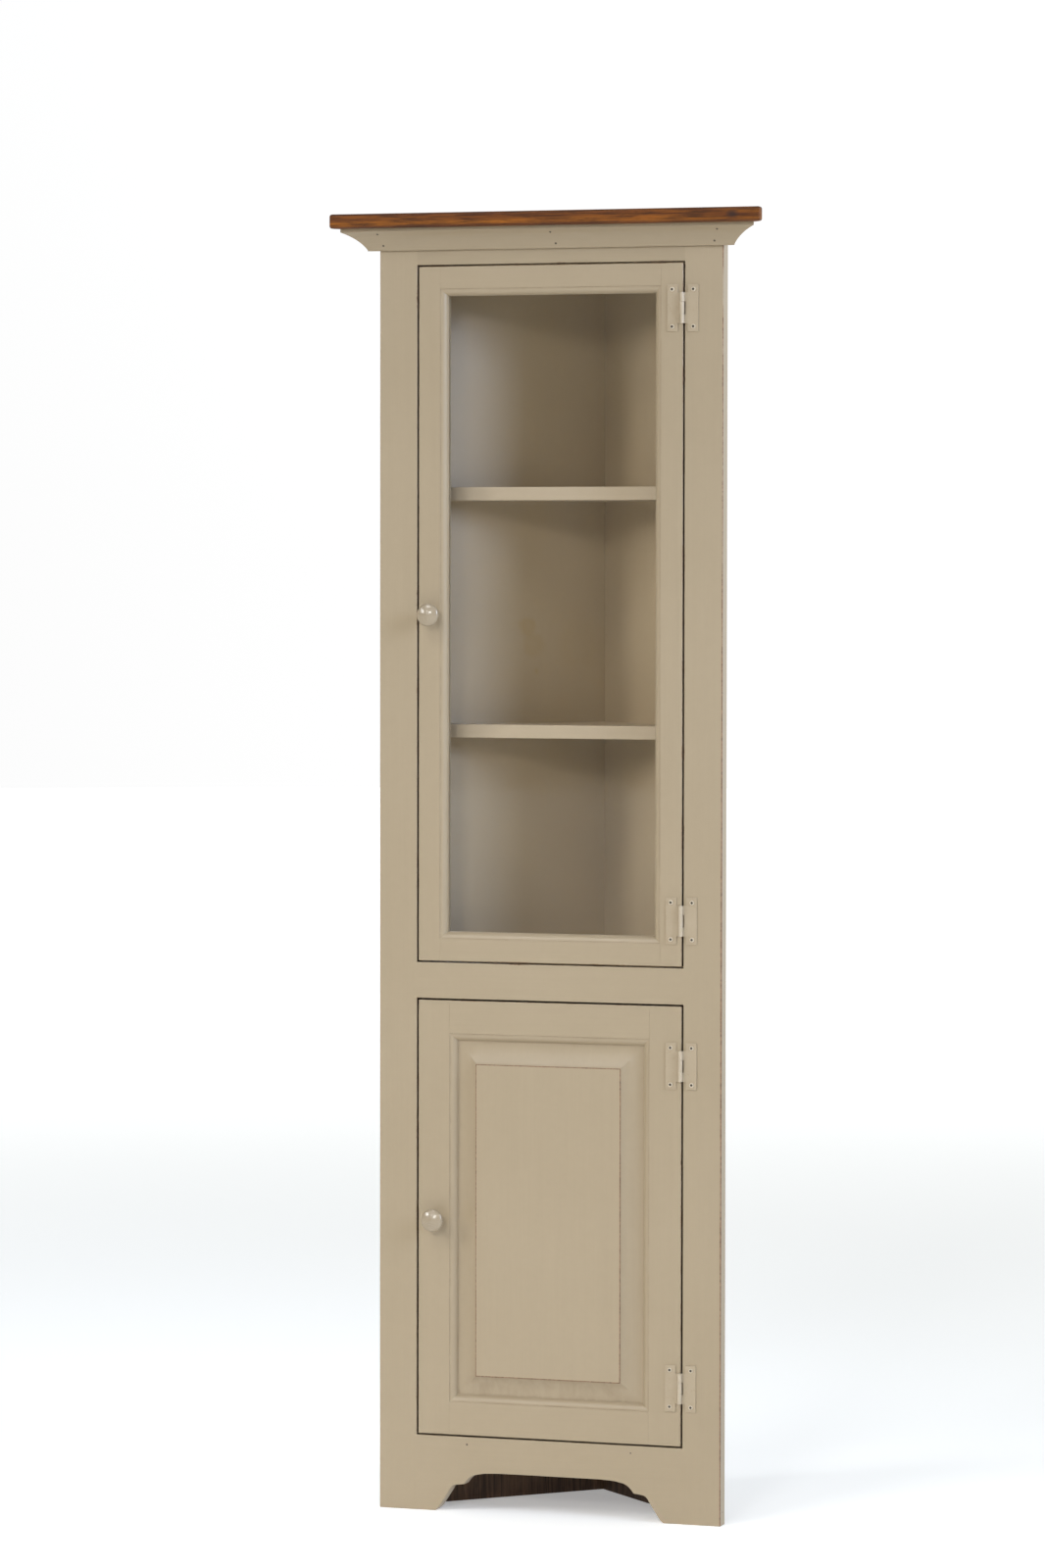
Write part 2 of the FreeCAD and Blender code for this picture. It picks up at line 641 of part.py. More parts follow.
def knob_screw(name, label, x, z):
    """From inside the door, through the stile and into the knob."""
    b = new_body(name)
    s = sketch_on(b, name + "Section", "XY_Plane")
    t = D.door_thk
    outline(s, [(q(0), -D.kscrew_in), (D.kscrew_rad, -D.kscrew_in + 2),
                (D.kscrew_rad, t), (D.khead_rad, t),
                (D.khead_rad, t + 0.8), (D.khead_rad - 1.2, t + D.khead_thk),
                (q(1.0), t + D.khead_thk), (q(1.0), t + 0.9), (q(0), t + 0.9)],
            "s")
    f = b.newObject("PartDesign::Revolution", name + "Turned")
    f.Profile = s
    f.ReferenceAxis = (s, ["V_Axis"])
    f.Angle = 360.0
    seat(b, x, F, z)
    return node(b, label)


knob_screw("KnobScrewUpper", "upper_knob_screw", D.uknob_x, D.uknob_z)
knob_screw("KnobScrewLower", "lower_knob_screw", D.lknob_x, D.lknob_z)


# ------------------------------------------------------------------- hinges
# Each leaf lies on the face with its full height away from the barrel and a
# short neck next to it. The door leaf carries the middle knuckle, the frame
# leaf the two end knuckles. Both hinges of a door share one node per leaf.
def leaf_pair(name, label, side, z_list):
    b = new_body(name, True)
    s = sketch_on(b, name + "Plates", "XZ_Plane")
    ht, hb, hm = 0.5 * D.leaf_tall, 0.5 * D.barrel_tall, 0.5 * D.knuckle_mid
    k = D.knuckle_gap
    for i, zc in enumerate(z_list):
        zc = q(zc)
        o, n, c = D.leaf_out, D.leaf_in, D.leaf_clear
        if side < 0:      # door leaf: neck only at the middle knuckle
            p = [(-o, zc - ht), (-n, zc - ht), (-n, zc - hb), (-c, zc - hb),
                 (-c, zc - hm), (q(0), zc - hm), (q(0), zc + hm),
                 (-c, zc + hm), (-c, zc + hb), (-n, zc + hb), (-n, zc + ht),
                 (-o, zc + ht)]
        else:             # frame leaf: necks at both end knuckles
            p = [(o, zc - ht), (o, zc + ht), (n, zc + ht), (n, zc + hb),
                 (q(0), zc + hb), (q(0), zc + hm + k), (c, zc + hm + k),
                 (c, zc - hm - k), (q(0), zc - hm - k), (q(0), zc - hb),
                 (n, zc - hb), (n, zc - ht)]
        outline(s, p, "p%d" % i)
    pad(b, name + "Plate", s, D.leaf_thk)
    for i, zc in enumerate(z_list):
        zc = q(zc)
        if side < 0:
            spans = [(zc - hm, zc + hm)]
        else:
            spans = [(zc - hb, zc - hm - k), (zc + hm + k, zc + hb)]
        for j, (z0, z1) in enumerate(spans):
            s = sketch_on(b, "%sKnuckle%d%d" % (name, i, j), "XY_Plane", z0)
            ring(s, 0, -D.hinge_y, D.barrel_rad, "c")
            pad(b, "%sBarrel%d%d" % (name, i, j), s, z1 - z0)
    s = sketch_on(b, name + "Bores", "XY_Plane", 0)
    ring(s, 0, -D.hinge_y, D.bore_rad, "c")
    pocket(b, name + "Bore", s, D.top_z, True)
    s = sketch_on(b, name + "ScrewHoles", "XZ_Plane", 10)
    for i, zc in enumerate(z_list):
        for j, w in enumerate((-0.5, 0.5)):
            ring(s, side * D.hole_x, q(zc) + w * D.hole_dz, D.hole_rad,
                 "h%d%d" % (i, j))
    pocket(b, name + "Holes", s, 20, False)
    seat(b, D.hinge_x, F, 0)
    return node(b, label)


uz = (D.uh_bot, D.uh_top)
lz = (D.lh_bot, D.lh_top)
leaf_pair("LeafDoorUpper", "upper_door_hinge_leaves", -1, uz)
leaf_pair("LeafDoorLower", "lower_door_hinge_leaves", -1, lz)
leaf_pair("LeafFrameUpper", "upper_frame_hinge_leaves", 1, uz)
leaf_pair("LeafFrameLower", "lower_frame_hinge_leaves", 1, lz)

body = new_body("HingePins", True)
for i, zc in enumerate(uz + lz):
    sk = sketch_on(body, "PinRound%d" % i, "XY_Plane",
                   zc - 0.5 * D.barrel_tall - D.pin_over)
    ring(sk, 0, 0, D.pin_rad, "c")
    pad(body, "Pin%d" % i, sk, D.barrel_tall + 2 * D.pin_over)
seat(body, D.hinge_x, F - D.hinge_y, 0)
node(body, "hinge_pins")


def screw_group(name, label, spots, y, inward, head_thk=D.scrhead_thk,
                shank=D.scr_in, forward=True):
    """Oval-head wood screws: shank, eased head and a small recess. Heads face
    the front when forward is set, else the back."""
    b = new_body(name, True)
    s = sketch_on(b, name + "Shanks", "XZ_Plane")
    for i, (x, z) in enumerate(spots):
        ring(s, x, z, D.scr_rad, "s%d" % i)
    pad(b, name + "Shank", s, shank, forward)
    s = sketch_on(b, name + "Heads", "XZ_Plane")
    for i, (x, z) in enumerate(spots):
        ring(s, x, z, D.scrhead_rad, "s%d" % i)
    head = pad(b, name + "Head", s, head_thk, not forward)
    doc.recompute()
    far = -q(head_thk).v if forward else q(head_thk).v
    names = []
    for i, e in enumerate(head.Shape.Edges):
        bb = e.BoundBox
        if abs(bb.YMin - far) < 1e-4 and abs(bb.YMax - far) < 1e-4 \
                and bb.XLength > 2 * D.scr_rad.v + 1:
            names.append("Edge%d" % (i + 1))
    r = b.newObject("PartDesign::Fillet", name + "Crown")
    r.Base = (head, names)
    r.Radius = D.scrhead_ease.v
    bind(r, "Radius", D.scrhead_ease)
    s = sketch_on(b, name + "Recess", "XZ_Plane",
                  (q(head_thk) if forward else -q(head_thk)))
    for i, (x, z) in enumerate(spots):
        ring(s, x, z, D.recess_rad, "s%d" % i)
    pocket(b, name + "Drive", s, D.recess_deep, not forward)
    seat(b, 0, y, 0)
    return node(b, label)


def hinge_spots(side, z_list):
    x = D.hinge_x + side * D.hole_x
    return [(x, q(zc) + w * D.hole_dz) for zc in z_list for w in (-0.5, 0.5)]


on_leaf = F - D.leaf_thk
screw_group("ScrewsDoorUpper", "upper_door_hinge_screws",
            hinge_spots(-1, uz), on_leaf, None)
screw_group("ScrewsDoorLower", "lower_door_hinge_screws",
            hinge_spots(-1, lz), on_leaf, None)
screw_group("ScrewsFrame", "frame_hinge_screws",
            hinge_spots(1, uz + lz), on_leaf, None)

# ------------------------------------------------------------------ catches
# A magnet in a small moulded block behind the left stile meets a steel plate
# on the back of each door.
body = new_body("Catches", True)
sk = sketch_on(body, "CatchOutline", "XZ_Plane")
for tag, zc in (("u", D.ucatch_z), ("v", D.lcatch_z)):
    rect(sk, D.catch_x, zc - 0.5 * D.catch_tall, D.catch_x + D.catch_w,
         zc + 0.5 * D.catch_tall, tag)
pad(body, "CatchBlock", sk, D.catch_deep, True)
sk = sketch_on(body, "MagnetSeat", "XZ_Plane", 1)
for tag, zc in (("u", D.ucatch_z), ("v", D.lcatch_z)):
    rect(sk, D.magnet_x, zc - 0.5 * D.magnet_tall, D.magnet_x + D.magnet_w,
         zc + 0.5 * D.magnet_tall, tag)
pocket(body, "MagnetPocket", sk, D.magnet_deep + 1, False)
sk = sketch_on(body, "CatchHoles", "XZ_Plane", 5)
for tag, zc in (("u", D.ucatch_z), ("v", D.lcatch_z)):
    for j, w in enumerate((-0.5, 0.5)):
        ring(sk, D.cscrew_x, zc + w * D.cscrew_dz, D.scr_rad + 0.2,
             "%s%d" % (tag, j))
pocket(body, "CatchBores", sk, D.catch_deep + 10, False)
seat(body, 0, frame_back, 0)
node(body, "catch_blocks")

body = new_body("Magnets", True)
sk = sketch_on(body, "MagnetOutline", "XZ_Plane")
for tag, zc in (("u", D.ucatch_z), ("v", D.lcatch_z)):
    rect(sk, D.magnet_x, zc - 0.5 * D.magnet_tall, D.magnet_x + D.magnet_w,
         zc + 0.5 * D.magnet_tall, tag)
pad(body, "MagnetBlock", sk, D.magnet_deep + D.magnet_out, True)
seat(body, 0, frame_back - D.magnet_out, 0)
node(body, "catch_magnets")

spots = [(D.cscrew_x, zc + w * D.cscrew_dz)
         for zc in (D.ucatch_z, D.lcatch_z) for w in (-0.5, 0.5)]
screw_group("ScrewsCatch", "catch_screws", spots, frame_back + D.catch_deep,
            None, D.scrhead_thk, D.cscrew_len, False)


def strike(name, label, zc):
    b = new_body(name)
    s = sketch_on(b, name + "Outline", "XZ_Plane")
    rect(s, D.strike_x, zc - 0.5 * D.strike_tall, D.strike_x + D.strike_w,
         zc + 0.5 * D.strike_tall, "p")
    for j, w in enumerate((-0.5, 0.5)):
        ring(s, D.strikescr_x, zc + w * D.strikescr_dz, D.hole_rad, "h%d" % j)
    pad(b, name + "Plate", s, D.strike_thk, True)
    seat(b, 0, F + D.door_thk, 0)
    return node(b, label)


strike("StrikeUpper", "upper_strike_plate", D.ucatch_z)
strike("StrikeLower", "lower_strike_plate", D.lcatch_z)


def strike_pins(name, label, zc):
    """Two flush pins hold the plate; they end level with it."""
    b = new_body(name, True)
    s = sketch_on(b, name + "Rounds", "XZ_Plane")
    for j, w in enumerate((-0.5, 0.5)):
        ring(s, D.strikescr_x, zc + w * D.strikescr_dz, D.scr_rad, "h%d" % j)
    pad(b, name + "Shanks", s, q(12.0))
    seat(b, 0, F + D.door_thk + D.strike_thk, 0)
    return node(b, label)


strike_pins("StrikePinsUpper", "upper_strike_pins", D.ucatch_z)
strike_pins("StrikePinsLower", "lower_strike_pins", D.lcatch_z)


# ----------------------------------------------------------- nails, screws
def cove_y(z):
    """Front of the crown at a height, as a depth in front of the face."""
    y0, z0 = -D.crown_lipy.v, D.crown_bot.v + D.crown_lipz.v
    y1, z1 = -D.crown_top_y.v, carcass_top.v - D.crown_fillet.v
    mx, mz = (y0 + y1) / 2, (z0 + z1) / 2
    dy, dz = y1 - y0, z1 - z0
    c = math.hypot(dy, dz)
    k = math.sqrt(D.crown_cove.v ** 2 - c * c / 4)
    # centre of the cove lies in front of and below the chord
    cy, cz = mx - dz / c * k, mz + dy / c * k
    return cy + math.sqrt(D.crown_cove.v ** 2 - (z - cz) ** 2)


body = new_body("CrownBrads", True)
for i, (x, z) in enumerate(((-248.7, 1800.4), (6.4, 1799.6), (248.2, 1799.6),
                            (-244.5, 1785.5), (10.5, 1784.9),
                            (240.9, 1784.8))):
    depth = q(-cove_y(z) + 0.2)
    sk = sketch_on(body, "CrownBrad%d" % i, "XZ_Plane", depth)
    ring(sk, x, z, D.brad_rad, "n")
    pad(body, "CrownNail%d" % i, sk, D.brad_len, True)
seat(body, 0, F, 0)
node(body, "crown_brads")

body = new_body("FrameBrads", True)
sk = sketch_on(body, "ApronBradSpot", "XZ_Plane", 0.1)
ring(sk, -121.0, 95.8, D.brad_rad, "a")
ring(sk, 121.0, 96.4, D.brad_rad, "b")
pad(body, "ApronNails", sk, q(40.0), True)
sk = sketch_on(body, "EdgeBradSpot", "YZ_Plane", D.frame_half + 0.1)
ring(sk, 11.0, 18.7, D.brad_rad, "a")
pad(body, "EdgeNail", sk, q(46.0), True)
seat(body, 0, F, 0)
node(body, "frame_brads")

body = new_body("TopScrews", True)
sk = sketch_on(body, "TopScrewSpots", "XY_Plane", D.deck_thk * -1.0)
spots = ((-170.0, 40.0), (0.0, 40.0), (170.0, 40.0), (-60.0, 150.0),
         (60.0, 150.0))
for i, (x, y) in enumerate(spots):
    ring(sk, x, y, D.topscr_rad, "s%d" % i)
pad(body, "TopScrewShanks", sk, D.topscr_len)
sk = sketch_on(body, "TopScrewHeads", "XY_Plane", D.deck_thk * -1.0)
for i, (x, y) in enumerate(spots):
    ring(sk, x, y, D.topscr_head, "s%d" % i)
pad(body, "TopScrewHead", sk, q(1.8), True)
seat(body, 0, F, carcass_top)
node(body, "top_board_screws")

# -------------------------------------------------------------- check, write
doc.recompute()
bad = []
for obj in doc.Objects:
    if any(w in obj.State for w in ("Invalid", "Error")):
        bad.append("%s: %s" % (obj.Name, obj.State))
labels = set()
for obj in NODES:
    if obj.Shape.isNull() or not obj.Shape.isValid() or not obj.Shape.Solids:
        bad.append("%s: bad shape" % obj.Label)
    if obj.Label in labels:
        bad.append("%s: label used twice" % obj.Label)
    labels.add(obj.Label)
if bad:
    raise RuntimeError("; ".join(bad))

os.makedirs("parts", exist_ok=True)
for obj in NODES:
    obj.Shape.exportStep(os.path.join("parts", obj.Label + ".step"))
    bb = obj.Shape.BoundBox
    print("%-28s %d solid(s)  x %.1f..%.1f  y %.1f..%.1f  z %.1f..%.1f  %.1f cm3"
          % (obj.Label, len(obj.Shape.Solids), bb.XMin, bb.XMax, bb.YMin,
             bb.YMax, bb.ZMin, bb.ZMax, obj.Shape.Volume / 1000.0))
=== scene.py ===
import json
import math

import bmesh
import bpy
from mathutils import Matrix, Vector, noise


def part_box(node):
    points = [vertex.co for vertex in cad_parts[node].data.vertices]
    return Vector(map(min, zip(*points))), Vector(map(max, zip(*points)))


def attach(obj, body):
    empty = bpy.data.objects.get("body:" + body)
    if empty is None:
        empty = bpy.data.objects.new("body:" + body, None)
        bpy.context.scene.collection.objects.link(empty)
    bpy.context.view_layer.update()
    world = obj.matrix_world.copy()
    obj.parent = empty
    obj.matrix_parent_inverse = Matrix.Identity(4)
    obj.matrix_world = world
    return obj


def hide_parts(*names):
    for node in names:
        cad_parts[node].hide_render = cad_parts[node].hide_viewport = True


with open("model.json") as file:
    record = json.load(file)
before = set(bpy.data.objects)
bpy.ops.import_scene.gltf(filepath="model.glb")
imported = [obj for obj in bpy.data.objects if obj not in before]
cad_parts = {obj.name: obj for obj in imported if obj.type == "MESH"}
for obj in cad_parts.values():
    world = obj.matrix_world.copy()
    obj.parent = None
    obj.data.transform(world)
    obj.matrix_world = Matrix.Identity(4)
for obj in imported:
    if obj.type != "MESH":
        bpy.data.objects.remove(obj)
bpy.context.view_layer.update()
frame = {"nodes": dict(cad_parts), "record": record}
NODES = frame["nodes"]
BODY = {n: b for b, ns in frame["record"]["behaviour"]["bodies"].items()
        for n in ns}
SLOT = {s["node"]: s["material_slot"] for s in frame["record"]["subparts"]}
F = -0.12085          # the front face of the frame and doors
TINY = 2e-5


# ------------------------------------------------------------------ shapes
def wob(s, seed=0.0, scale=14.0):
    """Smooth repeatable variation along an edge, about -1 to 1."""
    return noise.noise(Vector((s * scale, seed * 7.31, seed * 3.17)))


class Shell:
    """Collects rings of points, with how worn and how grimy each one is, and how
    much painted shade darkens it inside the gaps.
    """

    def __init__(self):
        self.bm = bmesh.new()
        self.wear = self.bm.verts.layers.float.new("wear")
        self.grime = self.bm.verts.layers.float.new("grime")
        self.gap_shade = self.bm.verts.layers.float.new("gap_shade")

    def vert(self, p, wear=0.0, grime=0.0, gap_shade=0.0):
        v = self.bm.verts.new(p)
        v[self.wear] = wear
        v[self.grime] = grime
        v[self.gap_shade] = gap_shade
        return v

    def ring(self, pts):
        return [self.vert(*p) if isinstance(p[0], (tuple, Vector))
                else self.vert(p) for p in pts]

    def join(self, a, b, mat=0):
        n = len(a)
        for i in range(n):
            f = self.bm.faces.new((a[i], a[(i + 1) % n], b[(i + 1) % n], b[i]))
            f.material_index = mat

    def cap(self, ring, mat=0):
        f = self.bm.faces.new(ring)
        f.material_index = mat
        return f

    def done(self, name, mats, body, stands_for=(), slot=None, angle=36.0,
             merge=4e-7):
        bm = self.bm
        bmesh.ops.remove_doubles(bm, verts=bm.verts, dist=merge)
        bmesh.ops.dissolve_degenerate(bm, dist=merge, edges=bm.edges)
        bmesh.ops.recalc_face_normals(bm, faces=bm.faces)
        me = bpy.data.meshes.new(name)
        bm.to_mesh(me)
        bm.free()
        me.shade_smooth()
        me.set_sharp_from_angle(angle=math.radians(angle))
        ob = bpy.data.objects.new(name, me)
        bpy.context.scene.collection.objects.link(ob)
        for m in mats:
            me.materials.append(m)
        w = ob.modifiers.new("flats", "WEIGHTED_NORMAL")
        w.keep_sharp = True
        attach(ob, body)
        if stands_for:
            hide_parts(*stands_for)
            slot or SLOT[stands_for[0]]
        return ob


def arc_points(p0, p1, rad, side, n):
    """n + 1 points of an arc between p0 and p1, bulging left for side 1."""
    mx, my = (p0[0] + p1[0]) / 2, (p0[1] + p1[1]) / 2
    dx, dy = p1[0] - p0[0], p1[1] - p0[1]
    c = math.hypot(dx, dy)
    k = math.sqrt(max(rad * rad - c * c / 4, 0.0))
    nx, ny = -dy / c, dx / c
    cx, cy = mx - side * nx * k, my - side * ny * k
    a0 = math.atan2(p0[1] - cy, p0[0] - cx)
    a1 = math.atan2(p1[1] - cy, p1[0] - cx)
    if side > 0 and a1 > a0:
        a1 -= 2 * math.pi
    if side < 0 and a1 < a0:
        a1 += 2 * math.pi
    return [(cx + rad * math.cos(a0 + (a1 - a0) * i / n),
             cy + rad * math.sin(a0 + (a1 - a0) * i / n)) for i in range(n + 1)]


def rounded(pts, radii, wears=None, seg=3, guard=0.0):
    """A polygon with its corners rounded. Returns (x, y, wear) with the same
    number of points for any radii."""
    n = len(pts)
    wears = wears or [0.0] * n
    out = []
    for i in range(n):
        p, a, b = pts[i], pts[i - 1], pts[(i + 1) % n]
        r = max(radii[i], 0.0)
        if radii[i] is None or radii[i] < 0:
            out.append((p[0], p[1], wears[i]))
            continue
        u = Vector((a[0] - p[0], a[1] - p[1]))
        v = Vector((b[0] - p[0], b[1] - p[1]))
        lu, lv = u.length, v.length
        u, v = u / lu, v / lv
        half = math.acos(max(-1, min(1, u.dot(v)))) / 2
        r = max(r, TINY)
        cut = min(r / math.tan(half), 0.48 * lu, 0.48 * lv)
        r = cut * math.tan(half)
        s, e = Vector(p) + u * cut, Vector(p) + v * cut
        c = Vector(p) + (u + v).normalized() * (r / math.sin(half))
        if guard:
            g = min(guard, 0.4 * (lu - cut))
            out.append((s[0] + u[0] * g, s[1] + u[1] * g, 0.0))
        a0 = math.atan2(s[1] - c[1], s[0] - c[0])
        a1 = math.atan2(e[1] - c[1], e[0] - c[0])
        d = (a1 - a0 + math.pi) % (2 * math.pi) - math.pi
        for k in range(seg + 1):
            w = 0.0 if k in (0, seg) and not guard else 1.0
            if guard and k in (0, seg):
                w = 0.75
            t = a0 + d * k / seg
            out.append((c[0] + r * math.cos(t), c[1] + r * math.sin(t),
                        w * wears[i]))
        if guard:
            g = min(guard, 0.4 * (lv - cut))
            out.append((e[0] + v[0] * g, e[1] + v[1] * g, 0.0))
    return out


def inset(pts, dist):
    """Moves each side of a counter-clockwise outline inwards by its own
    distance."""
    n = len(pts)
    out = []
    for i in range(n):
        p = Vector(pts[i][:2])
        a, b = Vector(pts[i - 1][:2]), Vector(pts[(i + 1) % n][:2])
        d0, d1 = dist[i - 1], dist[i]
        u, v = (p - a).normalized(), (b - p).normalized()
        n0, n1 = Vector((-u[1], u[0])), Vector((-v[1], v[0]))
        den = u[0] * v[1] - u[1] * v[0]
        if abs(den) < 1e-3:
            q = p + n0 * d0
        else:
            p0, p1 = p + n0 * d0, p + n1 * d1
            t = ((p1[0] - p0[0]) * v[1] - (p1[1] - p0[1]) * v[0]) / den
            t = max(-0.02, min(0.02, t))
            q = p0 + u * t
        out.append((q[0], q[1]))
    return out


def ccw(pts):
    area = sum(pts[i - 1][0] * pts[i][1] - pts[i][0] * pts[i - 1][1]
               for i in range(len(pts)))
    return list(pts) if area > 0 else list(pts)[::-1]


def plate(shell, pts, h0, h1, place, r0=0.0005, r1=0.0005, side=None, seg=3,
          wear=0.0, mids=(), mat=0, mat0=None, mat1=None):
    """A board or plate: a counter-clockwise outline run from h0 to h1 with
    its two outer edges eased. side gives each edge's share of the easing."""
    n = len(pts)
    side = side or [1.0] * n
    rings = []

    def at(h, d, w):
        q = inset(pts, [d * s for s in side])
        rings.append(shell.ring([(place(a, b, h), w, 0.0) for a, b in q]))

    for k in range(seg + 1):
        t = math.pi / 2 * k / seg
        at(h0 + r0 * (1 - math.cos(t)), r0 * (1 - math.sin(t)),
           wear if 0 < k < seg else 0.0)
    for m in mids:
        at(m, 0.0, 0.0)
    for k in range(seg + 1):
        t = math.pi / 2 * (1 - k / seg)
        at(h1 - r1 * (1 - math.cos(t)), r1 * (1 - math.sin(t)),
           wear if 0 < k < seg else 0.0)
    for a, b in zip(rings, rings[1:]):
        shell.join(a, b, mat)
    shell.cap(rings[0][::-1], mat if mat0 is None else mat0)
    shell.cap(rings[-1], mat if mat1 is None else mat1)
    return rings


def lathe(shell, profile, place, n=72, wear=None):
    """profile: (radius, height) from one pole to the other."""
    rings, poles = [], []
    for i, (r, h) in enumerate(profile):
        if r < 1e-7:
            poles.append(shell.vert(place(0, 0, h)))
            rings.append(None)
        else:
            rings.append(shell.ring([
                (place(r * math.cos(2 * math.pi * k / n),
                       r * math.sin(2 * math.pi * k / n), h),
                 0.0 if wear is None else wear[i], 0.0) for k in range(n)]))
    for a, b in zip(rings, rings[1:]):
        if a is None or b is None:
            p = poles.pop(0)
            ring = b if a is None else a
            for i in range(n):
                shell.bm.faces.new((p, ring[i], ring[(i + 1) % n]))
        else:
            shell.join(a, b)


# --------------------------------------------------------------- materials
def tree(name):
    m = bpy.data.materials.new(name)
    m.use_nodes = True
    nt = m.node_tree
    nt.nodes.clear()
    return m, nt


class G:
    """Small helper to write node graphs."""

    def __init__(self, nt):
        self.nt = nt
        self.co = nt.nodes.new("ShaderNodeTexCoord").outputs["Object"]

    def node(self, kind, **props):
        n = self.nt.nodes.new(kind)
        for k, v in props.items():
            setattr(n, k, v)
        return n

    def put(self, sock, v):
        if isinstance(v, bpy.types.NodeSocket):
            self.nt.links.new(v, sock)
        else:
            sock.default_value = v

    def mul(self, scale, loc=(0, 0, 0), rot=(0, 0, 0)):
        n = self.node("ShaderNodeMapping")
        self.put(n.inputs["Vector"], self.co)
        n.inputs["Scale"].default_value = scale
        n.inputs["Location"].default_value = loc
        n.inputs["Rotation"].default_value = rot
        return n.outputs["Vector"]

    def noise(self, vec, scale=1.0, detail=2.0, rough=0.5, distort=0.0):
        n = self.node("ShaderNodeTexNoise")
        self.put(n.inputs["Vector"], vec)
        n.inputs["Scale"].default_value = scale
        n.inputs["Detail"].default_value = detail
        n.inputs["Roughness"].default_value = rough
        n.inputs["Distortion"].default_value = distort
        return n.outputs["Fac"]

    def math(self, op, a, b=0.0, c=0.0, clamp=False):
        n = self.node("ShaderNodeMath", operation=op, use_clamp=clamp)
        self.put(n.inputs[0], a)
        self.put(n.inputs[1], b)
        self.put(n.inputs[2], c)
        return n.outputs[0]

    def span(self, v, a, b, c=0.0, d=1.0, smooth=False):
        n = self.node("ShaderNodeMapRange", clamp=True)
        if smooth:
            n.interpolation_type = "SMOOTHSTEP"
        self.put(n.inputs["Value"], v)
        for k, x in (("From Min", a), ("From Max", b), ("To Min", c),
                     ("To Max", d)):
            n.inputs[k].default_value = x
        return n.outputs["Result"]

    def mix(self, f, a, b, mode="MIX"):
        n = self.node("ShaderNodeMix", data_type="RGBA", blend_type=mode)
        self.put(n.inputs["Factor"], f)
        self.put(n.inputs[6], a if not isinstance(a, tuple) else (*a, 1.0)[:4])
        self.put(n.inputs[7], b if not isinstance(b, tuple) else (*b, 1.0)[:4])
        return n.outputs[2]

    def attr(self, name):
        n = self.node("ShaderNodeAttribute", attribute_name=name)
        return n.outputs["Fac"]

    def bump(self, h, strength, dist, normal=None):
        n = self.node("ShaderNodeBump")
        self.put(n.inputs["Height"], h)
        n.inputs["Strength"].default_value = strength
        n.inputs["Distance"].default_value = dist
        if normal is not None:
            self.put(n.inputs["Normal"], normal)
        return n.outputs["Normal"]

    def out(self, color, rough, normal=None, **sockets):
        p = self.node("ShaderNodeBsdfPrincipled")
        self.put(p.inputs["Base Color"], color if not isinstance(color, tuple)
                 else (*color, 1.0)[:4])
        self.put(p.inputs["Roughness"], rough)
        if normal is not None:
            self.put(p.inputs["Normal"], normal)
        for k, v in sockets.items():
            self.put(p.inputs[k.replace("_", " ")], v)
        o = self.node("ShaderNodeOutputMaterial")
        self.nt.links.new(p.outputs[0], o.inputs["Surface"])
        return p


PAINT_A, PAINT_B = (0.358, 0.282, 0.184), (0.342, 0.268, 0.172)
RUB_DARK, RUB_LIGHT = (0.105, 0.046, 0.020), (0.27, 0.150, 0.080)
GLAZE = (0.215, 0.150, 0.085)
STRETCH = {"x": (9.0, 330.0, 330.0), "z": (330.0, 330.0, 9.0)}


